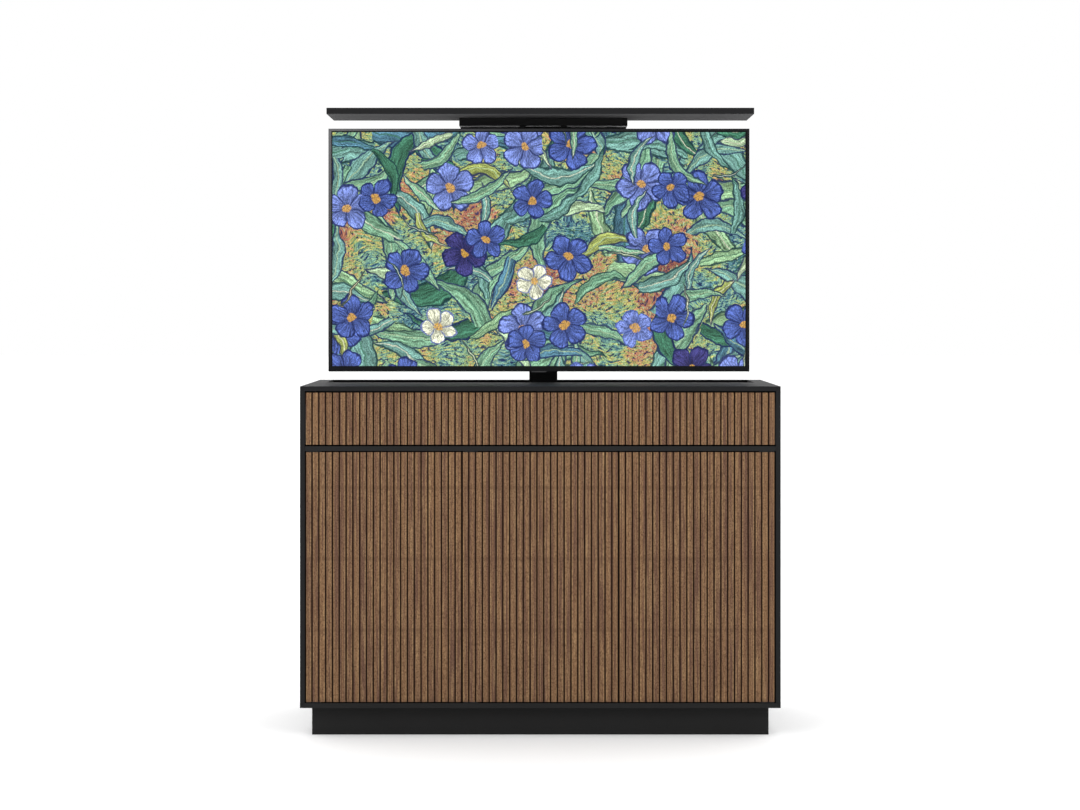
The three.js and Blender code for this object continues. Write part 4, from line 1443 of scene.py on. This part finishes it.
def blossom_layer_group():
    """One round blossom in some cells: five petals with creases between them and a round heart."""
    tree, given, result = named_group("blossom_layer", layer_inputs, layer_outputs)
    pick, x, y, filled = cell_parts(tree, given)
    angle = sum_of(tree, "ARCTAN2", y, x)
    wave = sum_of(tree, "COSINE", sum_of(tree, "MULTIPLY", angle, half_petals))
    wave = sum_of(tree, "ABSOLUTE", wave)
    lobe = sum_of(tree, "POWER", wave, petal_round)
    share = sum_of(tree, "MULTIPLY_ADD", lobe, petal_reach, 1 - petal_reach)
    rim = sum_of(tree, "MULTIPLY", share, given["Reach"])
    squares = sum_of(tree, "MULTIPLY_ADD", x, x, sum_of(tree, "MULTIPLY", y, y))
    radius = sum_of(tree, "SQRT", squares)
    depth = sum_of(tree, "SUBTRACT", rim, radius)
    edge, crease = stepped(tree, depth, *petal_line), stepped(tree, wave, *petal_crease)
    heart_reach = sum_of(tree, "DIVIDE", radius, given["Breadth"])
    out_share = sum_of(tree, "DIVIDE", radius, given["Reach"])
    turned = sum_of(tree, "MULTIPLY", angle, petal_stroke_turn)
    wired(
        tree,
        result,
        Mask=sum_of(tree, "MULTIPLY", stepped(tree, depth, *petal_edge), filled),
        Line=sum_of(tree, "MAXIMUM", edge, crease),
        Heart=stepped(tree, heart_reach, *heart_edge),
        Shade=stepped(tree, out_share, *petal_shade),
        Stroke=stroke_field(tree, radius, turned, pick),
        Pick=pick,
    )
    return tree


leaf_layer = leaf_layer_group()
blossom_layer = blossom_layer_group()

screen_low, screen_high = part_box("tv_screen")
screen_x, _, screen_z = middle("tv_screen")
outline_waver = (22, 0.03)
brush_waver = (7, 0.12)
glass = new_material("screen_glass")
paint = glass.node_tree
glass_place = axes(paint, object_place(paint))
picture_x = sum_of(paint, "SUBTRACT", glass_place["X"], screen_x)
picture_z = sum_of(paint, "SUBTRACT", glass_place["Z"], screen_z)
picture_place = joined(paint, picture_x, picture_z, 0)
drawn_place = pushed_about(paint, picture_place, *outline_waver)
brushed_place = pushed_about(paint, picture_place, *brush_waver)

sage = screen_colour(126, 172, 140)
sage_teal = screen_colour(116, 162, 152)
light_green = screen_colour(146, 184, 140)
pale_green = screen_colour(172, 200, 160)
yellow_green = screen_colour(160, 172, 96)
deep_green = screen_colour(64, 116, 92)
blue_teal = screen_colour(84, 128, 148)
clay = screen_colour(178, 118, 94)
dark_clay = screen_colour(136, 84, 70)
ochre = screen_colour(190, 164, 104)
violet_blue = screen_colour(78, 98, 168)
light_blue = screen_colour(118, 136, 204)
dark_violet = screen_colour(60, 58, 116)
cream = screen_colour(220, 222, 196)
gold = screen_colour(222, 170, 60)
line_blue = screen_colour(22, 34, 86)
line_green = screen_colour(20, 56, 62)

ground_stops = (
    (0.58, deep_green),
    (0.66, blue_teal),
    (0.72, sage),
    (0.78, yellow_green),
    (0.83, ochre),
    (0.88, clay),
    (0.95, dark_clay),
)
ground_noise = (4, 3, 0.6)
dab_noise = (95, 2, 0.7)
level_noise = (1, 3, 0.65)
ground_stroke_weight = 0.5
ground_stroke_size = (45, 190)
ground_stroke_tone = (0.3, 0.7, 0.5, 1.6)
dark_dab_range = (0.4, 0.45, 0.9, 0)
light_dab_range = (0.58, 0.62, 0, 0.7)
stroke_tone = (0.33, 0.67, 0.28, 1.7)
bristle_size = (360, 200)
bristle_tone = (0.35, 0.65, 0.45, 1.66)
heart_weight = 0.8
line_weight = 0.9
blossom_scatter = 0.45
leaf_scatter = 0.85


def multiplied(colour, value):
    """A colour made lighter or darker by a value."""
    grey = paint.nodes.new("ShaderNodeCombineColor")
    wired(paint, grey, Red=value, Green=value, Blue=value)
    return mixed(paint, 1, colour, grey.outputs["Color"], "MULTIPLY")


def level_strokes(along, across):
    """Brush strokes that lie level and waver."""
    stretched = vector_of(paint, "MULTIPLY", brushed_place, (along, across, 1))
    return noise(paint, stretched, *level_noise)


def painted(ground, layer, scale, shift, share, reach, breadth, colours, heart, line):
    """Lays one layer over the picture so far."""
    laid = placed_group(
        paint,
        layer,
        Place=drawn_place,
        Scale=scale,
        Shift=(*shift, 0),
        Scatter=blossom_scatter if layer == blossom_layer else leaf_scatter,
        Share=share,
        Reach=reach,
        Breadth=breadth,
    )
    stops = [(index / len(colours), colour) for index, colour in enumerate(colours)]
    colour = ramp(paint, laid["Pick"], stops, "CONSTANT")
    strokes = stepped(paint, laid["Stroke"], *stroke_tone)
    colour = multiplied(colour, sum_of(paint, "MULTIPLY", strokes, laid["Shade"]))
    heart_share = sum_of(paint, "MULTIPLY", laid["Heart"], heart_weight)
    colour = mixed(paint, heart_share, colour, heart)
    line_share = sum_of(paint, "MULTIPLY", laid["Line"], line_weight)
    colour = mixed(paint, line_share, colour, line)
    return mixed(paint, laid["Mask"], ground, colour)


patches = noise(paint, picture_place, *ground_noise)
ground_strokes = level_strokes(*ground_stroke_size)
ground_value = sum_of(paint, "MULTIPLY_ADD", ground_strokes, ground_stroke_weight, patches)
picture = ramp(paint, ground_value, ground_stops)
picture = multiplied(picture, stepped(paint, ground_strokes, *ground_stroke_tone))
dabs = noise(paint, brushed_place, *dab_noise)
picture = mixed(paint, stepped(paint, dabs, *dark_dab_range), picture, line_blue)
picture = mixed(paint, stepped(paint, dabs, *light_dab_range), picture, pale_green)

# Each layer's kind, scale, shift, share of filled cells, reach, breadth, colours, heart and line.
greens = (sage, sage_teal, blue_teal, light_green, sage, sage_teal, deep_green)
fresh = (sage_teal, pale_green, sage, yellow_green)
blues = (violet_blue, light_blue, violet_blue, dark_violet, light_blue)
pales = (cream, light_blue, cream)
blades = (pale_green, cream, ochre, blue_teal)
for layer in (
    (leaf_layer, 3.4, (1.3, 4.1), 1, 0.6, 0.14, greens, deep_green, line_green),
    (leaf_layer, 4.2, (7.9, 2.6), 0.95, 0.6, 0.13, greens, pale_green, line_blue),
    (leaf_layer, 3.8, (3.2, 9.7), 0.9, 0.6, 0.12, greens, deep_green, line_blue),
    (leaf_layer, 4.6, (2.7, 7.1), 0.8, 0.6, 0.12, greens, cream, line_green),
    (leaf_layer, 5, (8.8, 5.6), 0.75, 0.55, 0.11, fresh, pale_green, line_blue),
    (leaf_layer, 5.4, (0.4, 3.5), 0.7, 0.55, 0.1, greens, deep_green, line_green),
    (blossom_layer, 5.5, (2.4, 6.3), 0.36, 0.42, 0.08, blues, gold, line_blue),
    (leaf_layer, 6, (5.5, 0.4), 0.55, 0.52, 0.09, fresh, cream, line_blue),
    (leaf_layer, 5, (9.1, 7.7), 0.45, 0.55, 0.1, greens, pale_green, line_blue),
    (blossom_layer, 6, (6.6, 3.3), 0.36, 0.42, 0.08, blues, gold, line_blue),
    (leaf_layer, 6.5, (0.7, 5.2), 0.3, 0.5, 0.035, blades, cream, line_green),
    (blossom_layer, 7.5, (8.2, 8.9), 0.12, 0.42, 0.1, pales, gold, violet_blue),
    (blossom_layer, 7, (4.4, 1.9), 0.24, 0.42, 0.09, blues, gold, line_blue),
):
    picture = painted(picture, *layer)
picture = multiplied(picture, stepped(paint, level_strokes(*bristle_size), *bristle_tone))

picture_margin = 3 * mm
margin_blur = 0.2 * mm
glass_gloss = (0.12, 0.08)
smudge_scale = 3
inside = sum_of(paint, "LESS_THAN", glass_place["Y"], screen_low.y + margin_blur)
for offset, reach in (
    (picture_x, (screen_high.x - screen_low.x) / 2 - picture_margin),
    (picture_z, (screen_high.z - screen_low.z) / 2 - picture_margin),
):
    from_middle = sum_of(paint, "ABSOLUTE", offset)
    within = stepped(paint, from_middle, reach, reach + margin_blur, 1, 0)
    inside = sum_of(paint, "MULTIPLY", inside, within)
smudge = placed_group(paint, fine_surface, Cloud_Scale=smudge_scale)["Cloud"]
shaded(
    glass,
    Base_Color=(0.004, 0.004, 0.005),
    Roughness=sum_of(paint, "MULTIPLY_ADD", smudge, *glass_gloss),
    Specular_IOR_Level=0.2,
    Emission_Color=mixed(paint, inside, (0, 0, 0), picture),
    Emission_Strength=1,
)
eased_node("tv_screen", "glass", panel_ease, glass)


# The television's back is a moulded cover with a deeper housing and two rows of air slots, held by
# six screws. A sunk tray holds the sockets, and a plain rating label is stuck at the other end.

cover_ease = 2.2 * mm
cover_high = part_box("tv_rear_cover")[1]
vent_rows = 2
vents_across = 46
vent_pitch = 11 * mm
vent_width = 3.4 * mm
vent_height = 26 * mm
vent_drop = 150 * mm
vent_row_pitch = 36 * mm
vent_cut_depth = 12 * mm
vent_cut = (cover_high.y - vent_cut_depth, cover_high.y + cut_overrun)
air_slots = bmesh.new()
for row in range(vent_rows):
    z = cover_high.z - vent_drop - row * vent_row_pitch
    for x in in_a_row(middle("tv_rear_cover")[0], vents_across, vent_pitch):
        low = (x - vent_width / 2, vent_cut[0], z - vent_height)
        box(air_slots, low, (x + vent_width / 2, vent_cut[1], z))

housing_side_margin = 112 * mm
housing_rear_base = 49 * mm
housing_rear_drop = 149 * mm
tray_side_gap = 60 * mm
tray_rise = 46 * mm
tray_width = 170 * mm
tray_height = 34 * mm
tray_depth = 9 * mm
tray_wall = 1.5 * mm
tray_gap = 0.1 * mm
tray_ease = 0.4 * mm
housing_left, housing_right = tv_low.x + housing_side_margin, tv_high.x - housing_side_margin
housing_base, housing_top = tv_low.z + housing_rear_base, tv_high.z - housing_rear_drop
tray_x = housing_left + tray_side_gap + tray_width / 2
tray_z = housing_base + tray_rise + tray_height / 2
tray_back = cover_high.y - tray_depth
socket_floor = tray_back + tray_wall


def tray_block(mesh, inset, y0, y1):
    """Adds a block as wide and high as the socket tray's opening, less an inset on each side."""
    width, height = tray_width - 2 * inset, tray_height - 2 * inset
    upright_block(mesh, tray_x, tray_z, width, height, y0, y1)


tray, tray_hollow = bmesh.new(), bmesh.new()
tray_block(air_slots, 0, *vent_cut)
tray_block(tray, tray_gap, tray_back, cover_high.y)
tray_block(tray_hollow, tray_wall, socket_floor, cover_high.y + cut_overrun)
tv_back = carved(eased(node_mesh("tv_rear_cover"), cover_ease, fine_segments), air_slots)
dressed("tv_rear_cover", "shell", tv_back, moulded_black)
tray = carved(eased(tray, tray_ease), tray_hollow)
finished("tv_socket_tray", tray, moulded_black, tv_body)

socket_count = 5
socket_pitch = 30 * mm
socket_width = 15 * mm
socket_height = 6.5 * mm
socket_wall = 0.8 * mm
socket_depth = 5 * mm
mouth_width, mouth_height = socket_width - 2 * socket_wall, socket_height - 2 * socket_wall
socket_ends = (socket_floor, socket_floor + socket_depth)
mouth_ends = (socket_floor + socket_wall, cover_high.y)
sockets, mouths = bmesh.new(), bmesh.new()
for x in in_a_row(tray_x, socket_count, socket_pitch):
    upright_block(sockets, x, tray_z, socket_width, socket_height, *socket_ends)
    upright_block(mouths, x, tray_z, mouth_width, mouth_height, *mouth_ends)
sockets = carved(eased(sockets, tray_ease), mouths)
finished("tv_sockets", sockets, zinc_plate, tv_body)

label_width = 72 * mm
label_height = 34 * mm
label_corner = 3 * mm
label_thickness = 0.15 * mm
label_silver = coated("label_silver", (138, 140, 142), (150, 152, 154), 0.5, 1600, 0.01 * mm)
label = bmesh.new()
label_x = housing_right - tray_side_gap - label_width / 2
label_back = cover_high.y + label_thickness
window(label, label_x, tray_z, label_width, label_height, label_corner, cover_high.y, label_back)
finished("tv_rating_label", label, label_silver, tv_body)

tv_screw_inset = 22 * mm
tv_screw_radius = 4 * mm
tv_screw_rise = 0.9 * mm
screw_heights = (
    housing_base + tv_screw_inset,
    (housing_base + housing_top) / 2,
    housing_top - tv_screw_inset,
)
places = [
    (x, cover_high.y, z)
    for x in (housing_left + tv_screw_inset, housing_right - tv_screw_inset)
    for z in screw_heights
]
tv_screws = screws(places, (0, 1, 0), tv_screw_radius, tv_screw_rise)
finished("tv_back_screws", tv_screws, black_zinc, tv_body)


# The lid is a board of the same laminate. Its underside is painted a pale matt grey: a painted
# sheen.
# It is screwed to the bracket, rides up with the television and fills the opening when the lift is
# down.

# Faces that look down are painted pale grey and made fully rough: a painted sheen on the lid's
# underside.
underside_sheen_grey = screen_colour(86, 86, 87)
downward_turn = -0.9
lid_laminate_with_sheen = coated("lid_laminate_with_sheen", (33, 33, 34), (38, 38, 39), *laminate)
lid_tree = lid_laminate_with_sheen.node_tree
facing = axes(lid_tree, lid_tree.nodes.new("ShaderNodeNewGeometry").outputs["True Normal"])
underside_sheen_share = sum_of(lid_tree, "LESS_THAN", facing["Z"], downward_turn)
shaded(
    lid_laminate_with_sheen,
    Base_Color=mixed(lid_tree, underside_sheen_share, given_to(lid_laminate_with_sheen, "Base Color"), underside_sheen_grey),
    Roughness=sum_of(lid_tree, "MAXIMUM", given_to(lid_laminate_with_sheen, "Roughness"), underside_sheen_share),
)
eased_node("lid", "board", board_ease, lid_laminate_with_sheen)
